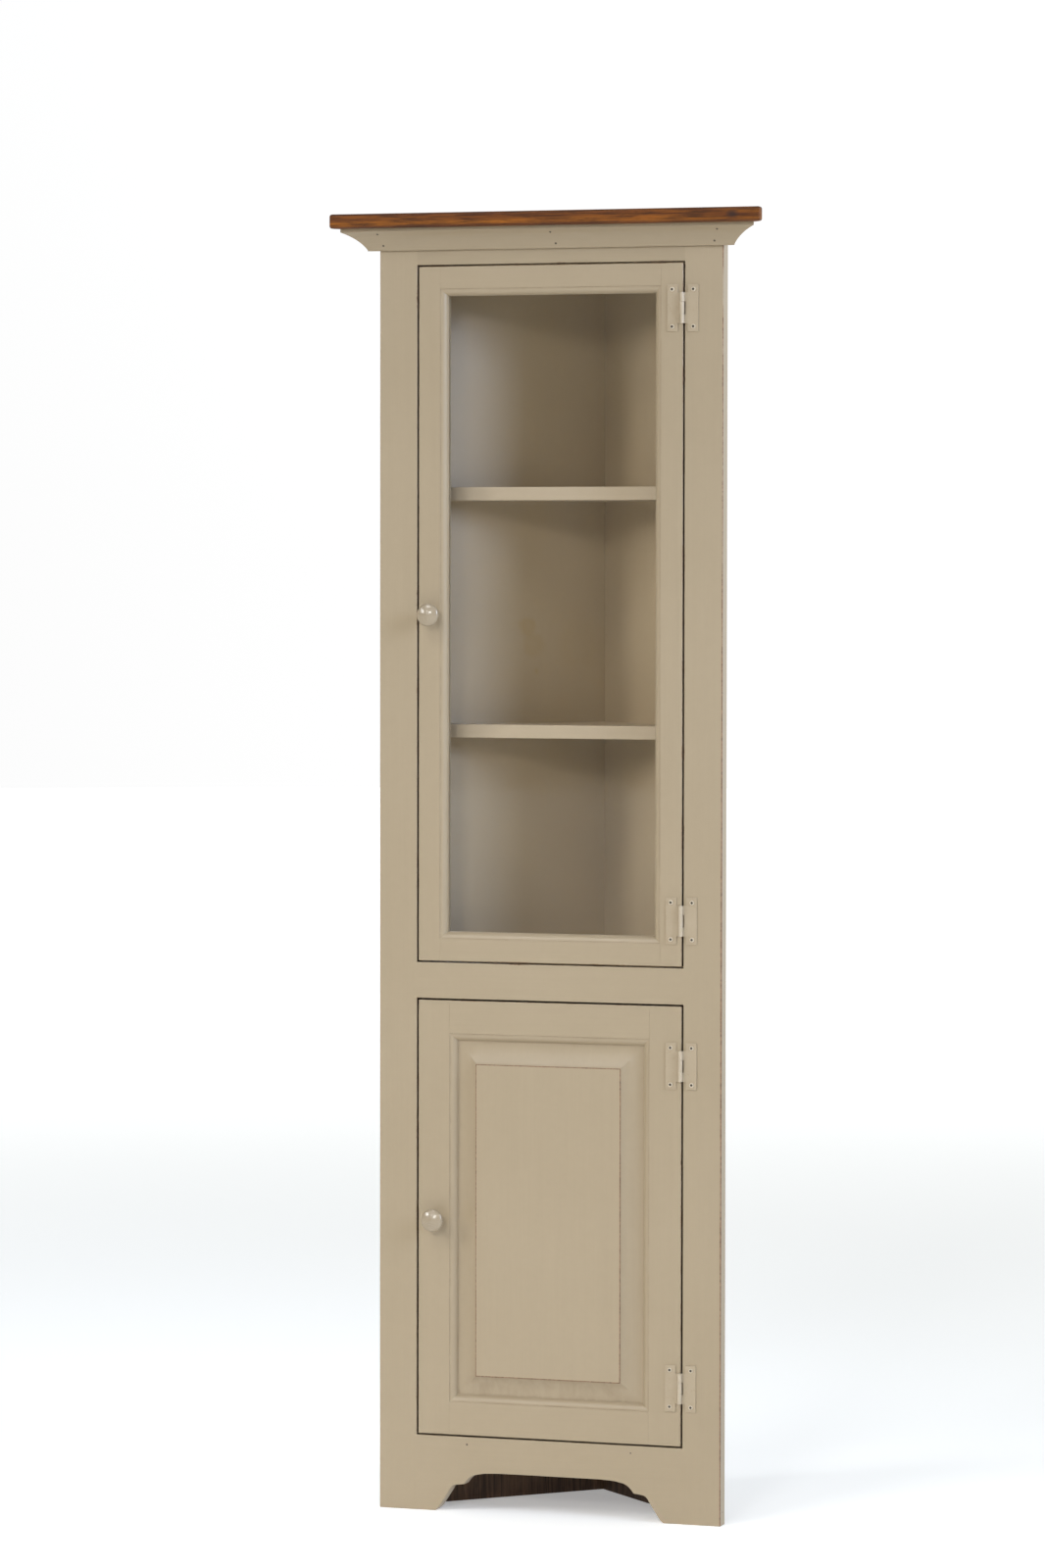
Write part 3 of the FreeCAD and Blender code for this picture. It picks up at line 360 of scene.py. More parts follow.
def paint(name, axis, spots=(), worn=1.0, level=(1.0, 1.0, 1.0),
          dots=()):
    """Satin paint over stained pine: faint brush marks and grain along the board,
    slight clouding, and stain showing where edges are rubbed. level scales the
    colour into lighter or darker copies, which are painted light and painted
    shade, and the marked edges inside the gaps get painted shade."""
    m, nt = tree(name)
    g = G(nt)
    along = g.mul(STRETCH[axis])
    cloud = g.noise(g.co, 3.6, 3.0, 0.55)
    fleck = g.noise(g.co, 95.0, 3.0, 0.6)
    brush = g.noise(along, 1.0, 3.0, 0.6, 0.15)
    grain = g.noise(g.mul(tuple(s * 0.28 for s in STRETCH[axis]),
                          (3.1, 1.7, 0.4)), 1.0, 4.0, 0.62, 0.6)
    col = g.mix(g.span(cloud, 0.30, 0.70),
                tuple(c * k for c, k in zip(PAINT_A, level)),
                tuple(c * k for c, k in zip(PAINT_B, level)))
    tone = g.math("ADD", g.span(brush, 0.25, 0.75, 0.986, 1.012),
                  g.span(fleck, 0.3, 0.7, -0.010, 0.010))
    tone = g.math("MULTIPLY", tone, g.span(grain, 0.3, 0.7, 0.990, 1.008))
    comb = g.node("ShaderNodeCombineXYZ")
    for i in range(3):
        g.put(comb.inputs[i], tone)
    col = g.mix(1.0, col, comb.outputs[0], "MULTIPLY")
    for x, y, z, r, s in spots:
        d = g.node("ShaderNodeVectorMath", operation="DISTANCE")
        warp = g.node("ShaderNodeVectorMath", operation="ADD")
        nz = g.node("ShaderNodeTexNoise")
        g.put(nz.inputs["Vector"], g.co)
        nz.inputs["Scale"].default_value = 55.0
        sc = g.node("ShaderNodeVectorMath", operation="SCALE")
        g.put(sc.inputs[0], nz.outputs["Color"])
        sc.inputs["Scale"].default_value = 0.012
        g.put(warp.inputs[0], g.co)
        g.put(warp.inputs[1], sc.outputs[0])
        g.put(d.inputs[0], warp.outputs[0])
        d.inputs[1].default_value = (x + 0.006, y + 0.006, z + 0.006)
        ring = g.math("SUBTRACT", g.span(d.outputs["Value"], r, r * 0.55),
                      g.math("MULTIPLY", g.span(d.outputs["Value"], r * 0.75,
                                                r * 0.3), 0.45))
        col = g.mix(g.math("MULTIPLY", ring, s), col, (0.36, 0.25, 0.11))
    for x, y, z, r in dots:
        d = g.node("ShaderNodeVectorMath", operation="DISTANCE")
        g.put(d.inputs[0], g.co)
        d.inputs[1].default_value = (x, y, z)
        col = g.mix(g.span(d.outputs["Value"], r, r * 0.6, 0.0, 0.85), col,
                    (0.060, 0.036, 0.022))
    # painted shade: the edges inside the gaps between doors and frame are darkened
    # almost to black, standing in for the shade there
    col = g.mix(g.math("MULTIPLY", g.attr("gap_shade"), 0.98, clamp=True), col,
                (0.046, 0.021, 0.007))
    # a little old glaze lies in the inner corners
    grime = g.attr("grime")
    dirt = g.noise(g.mul(tuple(30.0 if s < 20 else 70.0
                               for s in STRETCH[axis])), 1.0, 4.0, 0.6, 0.4)
    gm = g.math("MULTIPLY", grime, g.span(dirt, 0.38, 0.68))
    col = g.mix(g.math("MULTIPLY", gm, 0.75, clamp=True), col, GLAZE)
    # rubbed edges
    wear = g.attr("wear")
    patch = g.noise(g.co, 16.0, 2.0, 0.5)
    ragged = g.noise(g.co, 260.0, 4.0, 0.65)
    thresh = g.math("ADD", g.math("MULTIPLY", patch, 0.85),
                    g.math("MULTIPLY", ragged, 0.42))
    level = g.math("SUBTRACT", g.math("MULTIPLY", wear, 1.16 * worn), thresh)
    rub = g.math("MULTIPLY", g.span(level, -0.10, 0.03),
                 g.span(wear, 0.02, 0.12))
    wood = g.mix(g.span(ragged, 0.35, 0.62), RUB_DARK, RUB_LIGHT)
    col = g.mix(g.math("MULTIPLY", rub, 0.92), col, wood)
    rough = g.math("ADD", g.span(brush, 0.25, 0.75, 0.32, 0.39),
                   g.math("MULTIPLY", rub, 0.2))
    h = g.math("ADD", g.math("MULTIPLY", brush, 0.5),
               g.math("MULTIPLY", grain, 0.8))
    h = g.math("ADD", h, g.math("MULTIPLY", fleck, 0.25))
    h = g.math("SUBTRACT", h, g.math("MULTIPLY", rub, 1.4))
    g.out(col, rough, g.bump(h, 0.22, 0.00045), IOR=1.47)
    return m


def stained(name, dark=False):
    """Pine under an orange-brown stain: growth rings cut along the board,
    dark pores, a knot, darker arrises."""
    m, nt = tree(name)
    g = G(nt)
    # the top's grain runs along x, the standing boards' along z
    turn = (lambda s: (s[1], s[2], s[0])) if dark else (lambda s: s)
    bend = g.noise(g.mul(turn((2.2, 9.0, 9.0))), 1.0, 2.0, 0.5)
    v = g.node("ShaderNodeVectorMath", operation="ADD")
    off = g.node("ShaderNodeCombineXYZ")
    g.put(off.inputs[0 if dark else 1], g.math("MULTIPLY", bend, 0.030))
    g.put(off.inputs[1 if dark else 2], g.math("MULTIPLY", bend, 0.016))
    g.put(v.inputs[0], g.co)
    g.put(v.inputs[1], off.outputs[0])
    mp = g.node("ShaderNodeMapping")
    g.put(mp.inputs["Vector"], v.outputs[0])
    mp.inputs["Scale"].default_value = turn((2.6, 55.0, 120.0))
    rings = g.noise(mp.outputs[0], 1.0, 3.0, 0.55, 0.35)
    fine = g.noise(g.mul(turn((20.0, 330.0, 430.0))), 1.0, 4.0, 0.7, 0.2)
    pore = g.noise(g.mul(turn((38.0, 900.0, 1500.0))), 1.0, 2.0, 0.6)
    blot = g.noise(g.mul(turn((7.0, 14.0, 22.0))), 1.0, 3.0, 0.6)
    if dark:
        a, b, c = (0.060, 0.030, 0.014), (0.145, 0.078, 0.038), (0.03, .014, .007)
    else:
        a, b, c = (0.092, 0.021, 0.002), (0.285, 0.088, 0.005), (0.030, .008, .001)
    col = g.mix(g.span(rings, 0.34, 0.66), a, b)
    col = g.mix(g.math("MULTIPLY", g.span(fine, 0.44, 0.62), 0.80), col, c)
    col = g.mix(g.math("MULTIPLY", g.span(pore, 0.60, 0.72), 0.65), col, c)
    tone = g.span(blot, 0.3, 0.7, 0.74, 1.22)
    comb = g.node("ShaderNodeCombineXYZ")
    for i in range(3):
        g.put(comb.inputs[i], tone)
    col = g.mix(1.0, col, comb.outputs[0], "MULTIPLY")
    if not dark:
        # knot near the right end, dark core with bent grain round it
        d = g.node("ShaderNodeVectorMath", operation="DISTANCE")
        mk = g.node("ShaderNodeMapping")
        g.put(mk.inputs["Vector"], g.co)
        mk.inputs["Scale"].default_value = (1.0, 0.6, 1.5)
        g.put(d.inputs[0], mk.outputs[0])
        d.inputs[1].default_value = (0.2755, -0.0950, 2.7285)
        col = g.mix(g.span(d.outputs["Value"], 0.011, 0.003, 0.0, 0.85), col,
                    (0.028, 0.012, 0.008))
        edge = g.attr("wear")
        col = g.mix(g.math("MULTIPLY", edge, 0.62), col, (0.050, 0.018, 0.010))
    h = g.math("ADD", g.math("MULTIPLY", rings, 0.6),
               g.math("MULTIPLY", fine, 0.5))
    h = g.math("SUBTRACT", h, g.span(pore, 0.60, 0.72, 0.0, 0.8))
    rough = g.span(fine, 0.3, 0.7, 0.62 if dark else 0.42,
                   0.78 if dark else 0.56)
    if dark:
        g.out(col, rough, g.bump(h, 0.35, 0.0005))
    else:
        g.out(col, rough, g.bump(h, 0.20, 0.0004), IOR=1.31)
    return m


def knob_paint(name):
    m, nt = tree(name)
    g = G(nt)
    cloud = g.noise(g.co, 60.0, 3.0, 0.5)
    fine = g.noise(g.co, 700.0, 3.0, 0.6)
    turned = g.noise(g.mul((900.0, 90.0, 900.0)), 1.0, 2.0, 0.5)
    col = g.mix(g.span(cloud, 0.3, 0.7), (0.335, 0.268, 0.182),
                (0.310, 0.247, 0.164))
    wear = g.attr("wear")
    ragged = g.noise(g.co, 420.0, 4.0, 0.65)
    rub = g.span(g.math("SUBTRACT", wear, ragged), 0.0, 0.08)
    col = g.mix(g.math("MULTIPLY", rub, 0.6), col, (0.30, 0.20, 0.12))
    h = g.math("ADD", g.math("MULTIPLY", fine, 0.4),
               g.math("MULTIPLY", cloud, 0.8))
    g.out(col, g.span(turned, 0.3, 0.7, 0.22, 0.29), g.bump(h, 0.08, 0.0003),
          IOR=1.50, Coat_Weight=0.3, Coat_Roughness=0.14)
    return m


def hinge_paint(name):
    """The cabinet's paint over steel: thicker and smoother, with a painted
    highlight along the barrel."""
    m, nt = tree(name)
    g = G(nt)
    cloud = g.noise(g.co, 40.0, 3.0, 0.55)
    drip = g.noise(g.co, 420.0, 3.0, 0.6)
    col = g.mix(g.span(cloud, 0.3, 0.7), (0.392, 0.313, 0.212),
                (0.368, 0.291, 0.192))
    # painted highlight: the rounded barrel is coloured paler, mostly on its right
    # side
    mid = (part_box("hinge_pins")[0].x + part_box("hinge_pins")[1].x) / 2
    sep = g.node("ShaderNodeSeparateXYZ")
    g.put(sep.inputs[0], g.co)
    off = g.math("ABSOLUTE", g.math("SUBTRACT", sep.outputs[0],
                                    mid + 0.0008))
    col = g.mix(g.span(off, 0.0046, 0.0022, 0.0, 0.50, True), col,
                (0.560, 0.478, 0.365))
    chip = g.noise(g.co, 900.0, 4.0, 0.7)
    chips = g.span(chip, 0.70, 0.74)
    col = g.mix(g.math("MULTIPLY", chips, 0.5), col, (0.30, 0.25, 0.19))
    h = g.math("ADD", g.math("MULTIPLY", drip, 0.8),
               g.math("MULTIPLY", cloud, 0.5))
    g.out(col, g.span(drip, 0.3, 0.7, 0.26, 0.38), g.bump(h, 0.16, 0.0003),
          IOR=1.5)
    return m


def heads(node):
    """Front middle of each screw head, in the node's own coordinates."""
    o = NODES[node]
    groups = []
    for v in o.data.vertices:
        p = o.matrix_world @ v.co
        for one in groups:
            if math.hypot(p.x - one[0].x, p.z - one[0].z) < 0.010:
                one.append(p)
                break
        else:
            groups.append([p])
    back = o.matrix_world.inverted()
    return [back @ Vector(((min(p.x for p in one) + max(p.x for p in one)) / 2,
                           min(p.y for p in one),
                           (min(p.z for p in one) + max(p.z for p in one)) / 2))
            for one in groups]


def screw_paint(name, node):
    """The hinge paint on the screws, paler than on the leaves, with painted shade
    in each head's recess, coloured near black.
    """
    m, nt = tree(name)
    g = G(nt)
    drip = g.noise(g.co, 500.0, 3.0, 0.6)
    col = g.mix(g.span(drip, 0.3, 0.7), (0.560, 0.480, 0.360),
                (0.515, 0.438, 0.322))
    near = None
    for c in heads(node):
        d = g.node("ShaderNodeVectorMath", operation="DISTANCE")
        g.put(d.inputs[0], g.co)
        d.inputs[1].default_value = c
        near = d.outputs["Value"] if near is None else \
            g.math("MINIMUM", near, d.outputs["Value"])
    # painted shade in the recess of each head
    col = g.mix(g.span(near, 0.0021, 0.0014), col, (0.030, 0.017, 0.009))
    g.out(col, g.span(drip, 0.3, 0.7, 0.26, 0.40), g.bump(drip, 0.12, 0.0002),
          IOR=1.5)
    return m


def steel(name, base=(0.55, 0.55, 0.54), rough=(0.26, 0.40), metal=1.0):
    m, nt = tree(name)
    g = G(nt)
    lines = g.noise(g.mul((900.0, 900.0, 60.0)), 1.0, 3.0, 0.6)
    spot = g.noise(g.co, 180.0, 3.0, 0.6)
    k = g.span(spot, 0.3, 0.75, 1.0, 0.72)
    comb = g.node("ShaderNodeCombineXYZ")
    for i in range(3):
        g.put(comb.inputs[i], k)
    col = g.mix(1.0, base, comb.outputs[0], "MULTIPLY")
    g.out(col, g.span(lines, 0.3, 0.7, *rough), g.bump(lines, 0.10, 0.0001),
          Metallic=metal)
    return m


def moulded(name, base, rough=0.5):
    m, nt = tree(name)
    g = G(nt)
    tex = g.noise(g.co, 1400.0, 2.0, 0.5)
    cloud = g.noise(g.co, 30.0, 2.0, 0.5)
    col = g.mix(g.span(cloud, 0.3, 0.7), base,
                tuple(c * 0.82 for c in base))
    g.out(col, g.span(tex, 0.3, 0.7, rough - 0.06, rough + 0.08),
          g.bump(tex, 0.25, 0.0001))
    return m


def glass(name):
    m, nt = tree(name)
    g = G(nt)
    clear = g.node("ShaderNodeBsdfTransparent")
    clear.inputs["Color"].default_value = (0.996, 0.999, 0.997, 1.0)
    gloss = g.node("ShaderNodeBsdfGlossy")
    gloss.inputs["Color"].default_value = (1, 1, 1, 1)
    smear = g.noise(g.mul((16.0, 16.0, 5.0)), 1.0, 4.0, 0.6)
    g.put(gloss.inputs["Roughness"], g.span(smear, 0.35, 0.75, 0.015, 0.06))
    lw = g.node("ShaderNodeLayerWeight")
    lw.inputs["Blend"].default_value = 0.5
    rise = g.math("POWER", lw.outputs["Facing"], 5.0)
    shine = g.math("ADD", g.math("MULTIPLY", rise, 0.85), 0.013)
    haze = g.node("ShaderNodeBsdfDiffuse")
    haze.inputs["Color"].default_value = (0.85, 0.87, 0.90, 1)
    mx = g.node("ShaderNodeMixShader")
    g.put(mx.inputs[0], shine)
    g.put(mx.inputs[1], clear.outputs[0])
    g.put(mx.inputs[2], gloss.outputs[0])
    m2 = g.node("ShaderNodeMixShader")
    g.put(m2.inputs[0], g.span(smear, 0.35, 0.8, 0.001, 0.006))
    g.put(m2.inputs[1], mx.outputs[0])
    g.put(m2.inputs[2], haze.outputs[0])
    o = g.node("ShaderNodeOutputMaterial")
    nt.links.new(m2.outputs[0], o.inputs["Surface"])
    return m


SPOTS = [(-0.0876, 0.0443, 1.2495, 0.0150, 0.60),
         (-0.0800, 0.0519, 1.2240, 0.0190, 0.38),
         (-0.0767, 0.0553, 1.1852, 0.0050, 0.60),
         (-0.0300, 0.1020, 1.2200, 0.0400, 0.12)]
BRADS = [(x, F - 0.0045 - 0.0207 * ((z - 1.7797) / 0.0243) ** 1.6, z, 0.0021)
         for x, z in ((-0.2487, 1.8004), (0.0064, 1.7996), (0.2482, 1.7996),
                      (-0.2445, 1.7855), (0.0105, 1.7849), (0.2409, 1.7848))]
PX = paint("paint_rails", "x", dots=[(-0.121, F, 0.096, 0.0019),
                                     (0.121, F, 0.096, 0.0013)])
# the crown and top rail take darker copies of the paint: painted shade for the
# shadow under the top board's overhang
PC = paint("paint_crown_shaded", "x", dots=BRADS, level=(0.92, 0.91, 0.89))
PT = paint("paint_top_rail_shaded", "x", level=(0.93, 0.93, 0.92))
PZ = paint("paint_stiles", "z")
# the back boards and shelves take lighter copies of the paint: painted light
# brightening the inside of the cabinet; the spots on the back boards are knots
# showing through
PB = paint("paint_back_boards_lightened", "z", SPOTS,
           level=(1.10, 1.08, 1.06))
PS = paint("paint_shelves_lightened", "x", level=(1.25, 1.25, 1.31))
STAIN = stained("stained_top")
DARK = stained("dark_stain", True)
KNOB = knob_paint("knob_cream")
HINGE = hinge_paint("hinge_overpaint")
STEEL = steel("zinc_steel")
NAIL = steel("nail_dark", (0.045, 0.032, 0.022), (0.5, 0.7), 0.4)
PLASTIC = moulded("catch_brown", (0.12, 0.055, 0.025))
FERRITE = moulded("magnet_ferrite", (0.045, 0.045, 0.048), 0.42)
GLASS = glass("clear_glass")


# -------------------------------------------------------------- face frame
def steps(a, b, gap):
    n = max(1, int(round((b - a) / gap)))
    return [a + (b - a) * i / n for i in range(n + 1)]


OPEN_Z = ((0.1065, 0.7263), (0.7771, 1.7578))
Y0, Y1 = F, F + 0.022


def frame_stile(node, side):
    s = Shell()
    a, b = 0.1964, 0.252
    zs = []
    for z0, z1 in OPEN_Z:
        zs += [z0 - 1e-4, z0 + 0.0012] + steps(z0 + 0.02, z1 - 0.02, 0.022) \
            + [z1 - 0.0012, z1 + 1e-4]
    zs += steps(0.012, 0.092, 0.02) + [0.742, 0.76, 1.775, 1.79]
    zs = sorted(zs)
    stations = [(0.0006 * (1 - math.cos(t)), 0.0006 * (1 - math.sin(t)))
                for t in (0, math.pi / 6, math.pi / 3, math.pi / 2)]
    stations += [(z, 0.0) for z in zs] + [(1.809, 0.0)]
    prev = None
    seed = 3.0 if side > 0 else 5.0
    for i, (z, d) in enumerate(stations):
        inner = TINY
        for z0, z1 in OPEN_Z:
            if z0 + 1e-3 < z < z1 - 1e-3:
                inner = 0.0012 * (1 + 0.30 * wob(z, seed))
        outer = 0.0011 * (1 + 0.45 * wob(z, seed + 1))
        if side > 0:
            wo = 0.62 + 0.60 * max(0.0, min(1.0, (1.40 - z) / 0.6))
        else:
            wo = 0.40
        pts = [(a + d, Y0 + d), (b - d, Y0 + d), (b - d, Y1 - d),
               (a + d, Y1 - d)]
        sec = rounded(pts, [inner, outer, 0.0006, 0.0005],
                      [0.42 if inner > 1e-3 else 0.0, wo, 0.25, 0.0],
                      guard=0.0011)
        # the fourth value marks the stile's side face inside the door gap for
        # painted shade
        ring = s.ring([((side * x, y, z), w, 0.0,
                        1.0 if x < a + 1e-5 and y > Y0 + 0.0018 else 0.0)
                       for x, y, w in sec])
        if prev:
            s.join(prev, ring)
        else:
            s.cap(ring)
        prev = ring
    s.cap(prev)
    return s.done(node + ".shaped", [PZ], "carcass", [node])


frame_stile("frame_stile_left", -1)
frame_stile("frame_stile_right", 1)


def frame_rail(node, z0, z1, lower, upper):
    """lower, upper: whether that edge borders an opening."""
    s = Shell()
    prev = None
    for i, x in enumerate([-0.1964, -0.1954] + steps(-0.18, 0.18, 0.022)
                          + [0.1954, 0.1964]):
        r = 0.0012 * (1 + 0.30 * wob(x, z0 * 9))
        pts = [(Y0, z0), (Y1, z0), (Y1, z1), (Y0, z1)]
        sec = rounded(pts, [r if lower else TINY, 0.0005, 0.0005,
                            r if upper else TINY],
                      [0.42 if lower else 0.0, 0, 0, 0.42 if upper else 0.0],
                      guard=0.0009)
        # the fourth value marks the rail's edge inside the door gap for painted
        # shade
        ring = s.ring([((x, y, z), w, 0.0,
                        1.0 if y > Y0 + 0.0018 and
                        ((lower and z < z0 + 1e-5) or (upper and z > z1 - 1e-5))
                        else 0.0) for y, z, w in sec])
        if prev:
            s.join(prev, ring)
        else:
            s.cap(ring)
        prev = ring
    s.cap(prev)
    return s.done(node + ".shaped", [PX if lower and upper else PT],
                  "carcass", [node])


frame_rail("frame_rail_middle", 0.7263, 0.7771, True, True)
frame_rail("frame_rail_top", 1.7578, 1.809, True, False)


def apron():
    s = Shell()
    half = [(168.7, 0.0), (163.6, 4.7), (147.2, 29.6), (136.4, 37.9),
            (125.2, 39.4), (110.0, 52.8), (97.5, 55.4), (60.0, 56.8)]
    arcs = {3: (12.0, 14), 5: (30.0, 12), 7: (400.0, 6), 9: (400.0, 6),
            11: (30.0, 12), 13: (12.0, 14)}
    pts = [(-196.4, 0.0)] + [(-x, z) for x, z in half] \
        + [(x, z) for x, z in reversed(half)] \
        + [(196.4, 0.0), (196.4, 106.5), (-196.4, 106.5)]
    out = []
    kinds = []
    n = len(pts)
    for i in range(n):
        p, q = pts[i], pts[(i + 1) % n]
        if i in arcs:
            r, k = arcs[i]
            seg = arc_points(p, q, r, 1, k)
        else:
            seg = [p, q]
        # which sides are eased: all but the two that meet the stiles
        kind = 0.0 if abs(p[0]) > 196 and abs(q[0]) > 196 \
            and abs(p[1] - q[1]) > 10 else 1.0
        if p[1] == 106.5 and q[1] == 106.5:
            seg = [(p[0] + (q[0] - p[0]) * k / 18.0, 106.5)
                   for k in range(19)]
        for a, b in zip(seg, seg[1:]):
            out.append((a[0] / 1000, a[1] / 1000))
            kinds.append(kind)
    # x grows to the right and z upwards: clockwise seen from the front
    if ccw(out) != out:
        out = out[::-1]
        kinds = kinds[::-1]
        kinds = kinds[1:] + kinds[:1]
    plate(s, out, Y0, Y1, lambda a, b, h: (a, h, b), 0.0011, 0.0006, kinds,
          wear=0.40)
    return s.done("apron_rail.shaped", [PX], "carcass", ["apron_rail"])


apron()


# ------------------------------------------------------------------- crown
def crown():
    s = Shell()
    mm = 0.001
    sec = [(0.0, 1778.3), (4.3, 1778.3), (4.3, 1779.7)]
    cove = arc_points((-4.3, 1779.7), (-25.0, 1804.0), 50.0, -1, 18)
    body = [(-x, z) for x, z in cove]
    poly = [(0.0, 1778.3), (4.3, 1778.3)] + body + [(25.0, 1809.0),
                                                    (13.0, 1809.0),
                                                    (0.0, 1788.8)]
    radii, wears = [], []
    for i, (d, z) in enumerate(poly):
        if i == 1:
            radii.append(0.45 * mm)
            wears.append(0.42)
        elif abs(d - 25.0) < 1e-6 and abs(z - 1804.0) < 1e-3:
            radii.append(0.8 * mm)
            wears.append(0.42)
        elif i == 2:
            radii.append(0.3 * mm)
            wears.append(0.0)
        else:
            radii.append(-1)
            wears.append(0.0)
    sec = rounded([(d * mm, z * mm) for d, z in poly], radii, wears)
    slope = (50.5 - 17.0) / (25.0 - 4.3)

    def end(d):
        return (252.0 + 17.0) * mm + slope * (d - 4.3 * mm)

    prev = None
    for k, u in enumerate([-1.0, -0.9985] + steps(-0.96, 0.96, 0.08)
                          + [0.9985, 1.0]):
        ring = []
        for d, z, w in sec:
            e = 0.0 if abs(u) < 1 else 0.0003
            x = u * end(d)
            ring.append(((x, F - d + e, z), w if abs(u) < 1 else 0.5, 0.0))
        ring = s.ring(ring)
        if prev:
            s.join(prev, ring)
        else:
            s.cap(ring)
        prev = ring
    s.cap(prev)
    return s.done("crown_moulding.shaped", [PC], "carcass",
                  ["crown_moulding"])


crown()


# --------------------------------------------------------------- top board
def top_board():
    s = Shell()
    lo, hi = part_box("top_board")
    hx, y0, y1 = hi.x, lo.y, hi.y
    nose = 0.012
    pts = [(-hx, y0), (hx, y0), (hx, y0 + nose), (0.010, y1), (-0.010, y1),
           (-hx, y0 + nose)]
    rr = rounded(pts, [0.0026, 0.0026, 0.0022, 0.002, 0.002, 0.0022], seg=4)
    out = [(x, y) for x, y, w in rr]
    # long edges take stations, so that their easing can vary a little
    dense = []
    for i, p in enumerate(out):
        q = out[(i + 1) % len(out)]
        n = max(1, int(math.hypot(q[0] - p[0], q[1] - p[1]) / 0.03))
        dense += [(p[0] + (q[0] - p[0]) * k / n, p[1] + (q[1] - p[1]) * k / n)
                  for k in range(n)]
    side = []
    for i, p in enumerate(dense):
        q = dense[(i + 1) % len(dense)]
        front = (p[1] + q[1]) / 2 < y0 + nose + 0.001
        side.append((1.0 if front else 0.3)
                    * (1 + 0.10 * wob(p[0], 2.0)))
    plate(s, dense, lo.z, hi.z, lambda a, b, h: (a, b, h), 0.0035, 0.0035,
          side, seg=5, wear=0.75)
    return s.done("top_board.shaped", [STAIN], "carcass", ["top_board"])


top_board()


# ---------------------------------------------------- boards of the carcass
def plan_of(node):
    lo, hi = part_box(node)
    pts = []
    for v in NODES[node].data.vertices:
        p = (v.co.x, v.co.y)
        if all(math.hypot(p[0] - q[0], p[1] - q[1]) > 1e-5 for q in pts):
            pts.append(p)
    c = (sum(p[0] for p in pts) / len(pts), sum(p[1] for p in pts) / len(pts))
    pts.sort(key=lambda p: math.atan2(p[1] - c[1], p[0] - c[0]))
    return pts, lo.z, hi.z


def back_board(node):
    """Painted inside above the lowest shelf, dark stain elsewhere; inside, below
    the bottom deck, the dark stain also stands in for the shade there.
    """
    s = Shell()
    pts, z0, z1 = plan_of(node)
    n = len(pts)
    inner = None
    best = 9.0
    for i in range(n):
        p, q = pts[i], pts[(i + 1) % n]
        m = ((p[0] + q[0]) / 2, (p[1] + q[1]) / 2)
        length = math.hypot(q[0] - p[0], q[1] - p[1])
        d = abs(m[0]) + m[1]
        if length > 0.2 and d < best:
            best, inner = d, i
    r = 0.0007
    levels = [0.0, r * 0.29, r, 0.0875, 0.106] + steps(0.2, 1.7, 0.1) \
        + [1.809 - r, 1.809]
    prev = None
    for k, z in enumerate(levels):
        d = r if z == 0.0 else (r * 0.29 if k == 1 else 0.0)
        q = inset(pts, [d] * n)
        q = [(x, y, w) for x, y, w in rounded(q, [r] * n, [0.2] * n)]
        ring = s.ring([((x, y, z), w, 0.0) for x, y, w in q])
        if prev:
            m = len(ring)
            for i in range(m):
                f = s.bm.faces.new((prev[i], prev[(i + 1) % m],
                                    ring[(i + 1) % m], ring[i]))
                a = Vector(((prev[i].co.x + prev[(i + 1) % m].co.x) / 2,
                            (prev[i].co.y + prev[(i + 1) % m].co.y) / 2))
                on_inner = abs(abs(a[0]) + a[1] - (0.2528 - 0.12085)) < 2e-4
                # inside below the bottom deck the dark stain also serves as
                # painted shade
                f.material_index = 0 if on_inner and z > 0.0876 else 1
        else:
            s.cap(ring, 1)
        prev = ring
    s.cap(prev, 1)
    return s.done(node + ".shaped", [PB, DARK], "carcass", [node])


back_board("back_board_left")
back_board("back_board_right")


def shelf(node, bottom_dark=False, r=0.0009):
    s = Shell()
    pts, z0, z1 = plan_of(node)
    n = len(pts)
    side, dense = [], []
    for i, p in enumerate(pts):
        q = pts[(i + 1) % n]
        front = abs(p[1] - q[1]) < 1e-5
        k = 14 if front else 1
        for j in range(k):
            dense.append((p[0] + (q[0] - p[0]) * j / k,
                          p[1] + (q[1] - p[1]) * j / k))
            side.append(1.0 + 0.3 * wob(p[0] + j * 0.03, z0) if front else 0.35)
    plate(s, dense, z0, z1, lambda a, b, h: (a, b, h), r, r, side, wear=0.30,
          mat0=1 if bottom_dark else 0)
    mats = [PS, DARK] if bottom_dark else [PS]
    return s.done(node + ".shaped", mats, "carcass", [node])


for name in ("upper_shelf_high", "upper_shelf_low", "cupboard_shelf",
             "middle_deck", "sub_top"):
    shelf(name)
shelf("bottom_deck", True)


# ------------------------------------------------------------------- doors
THK = 0.020


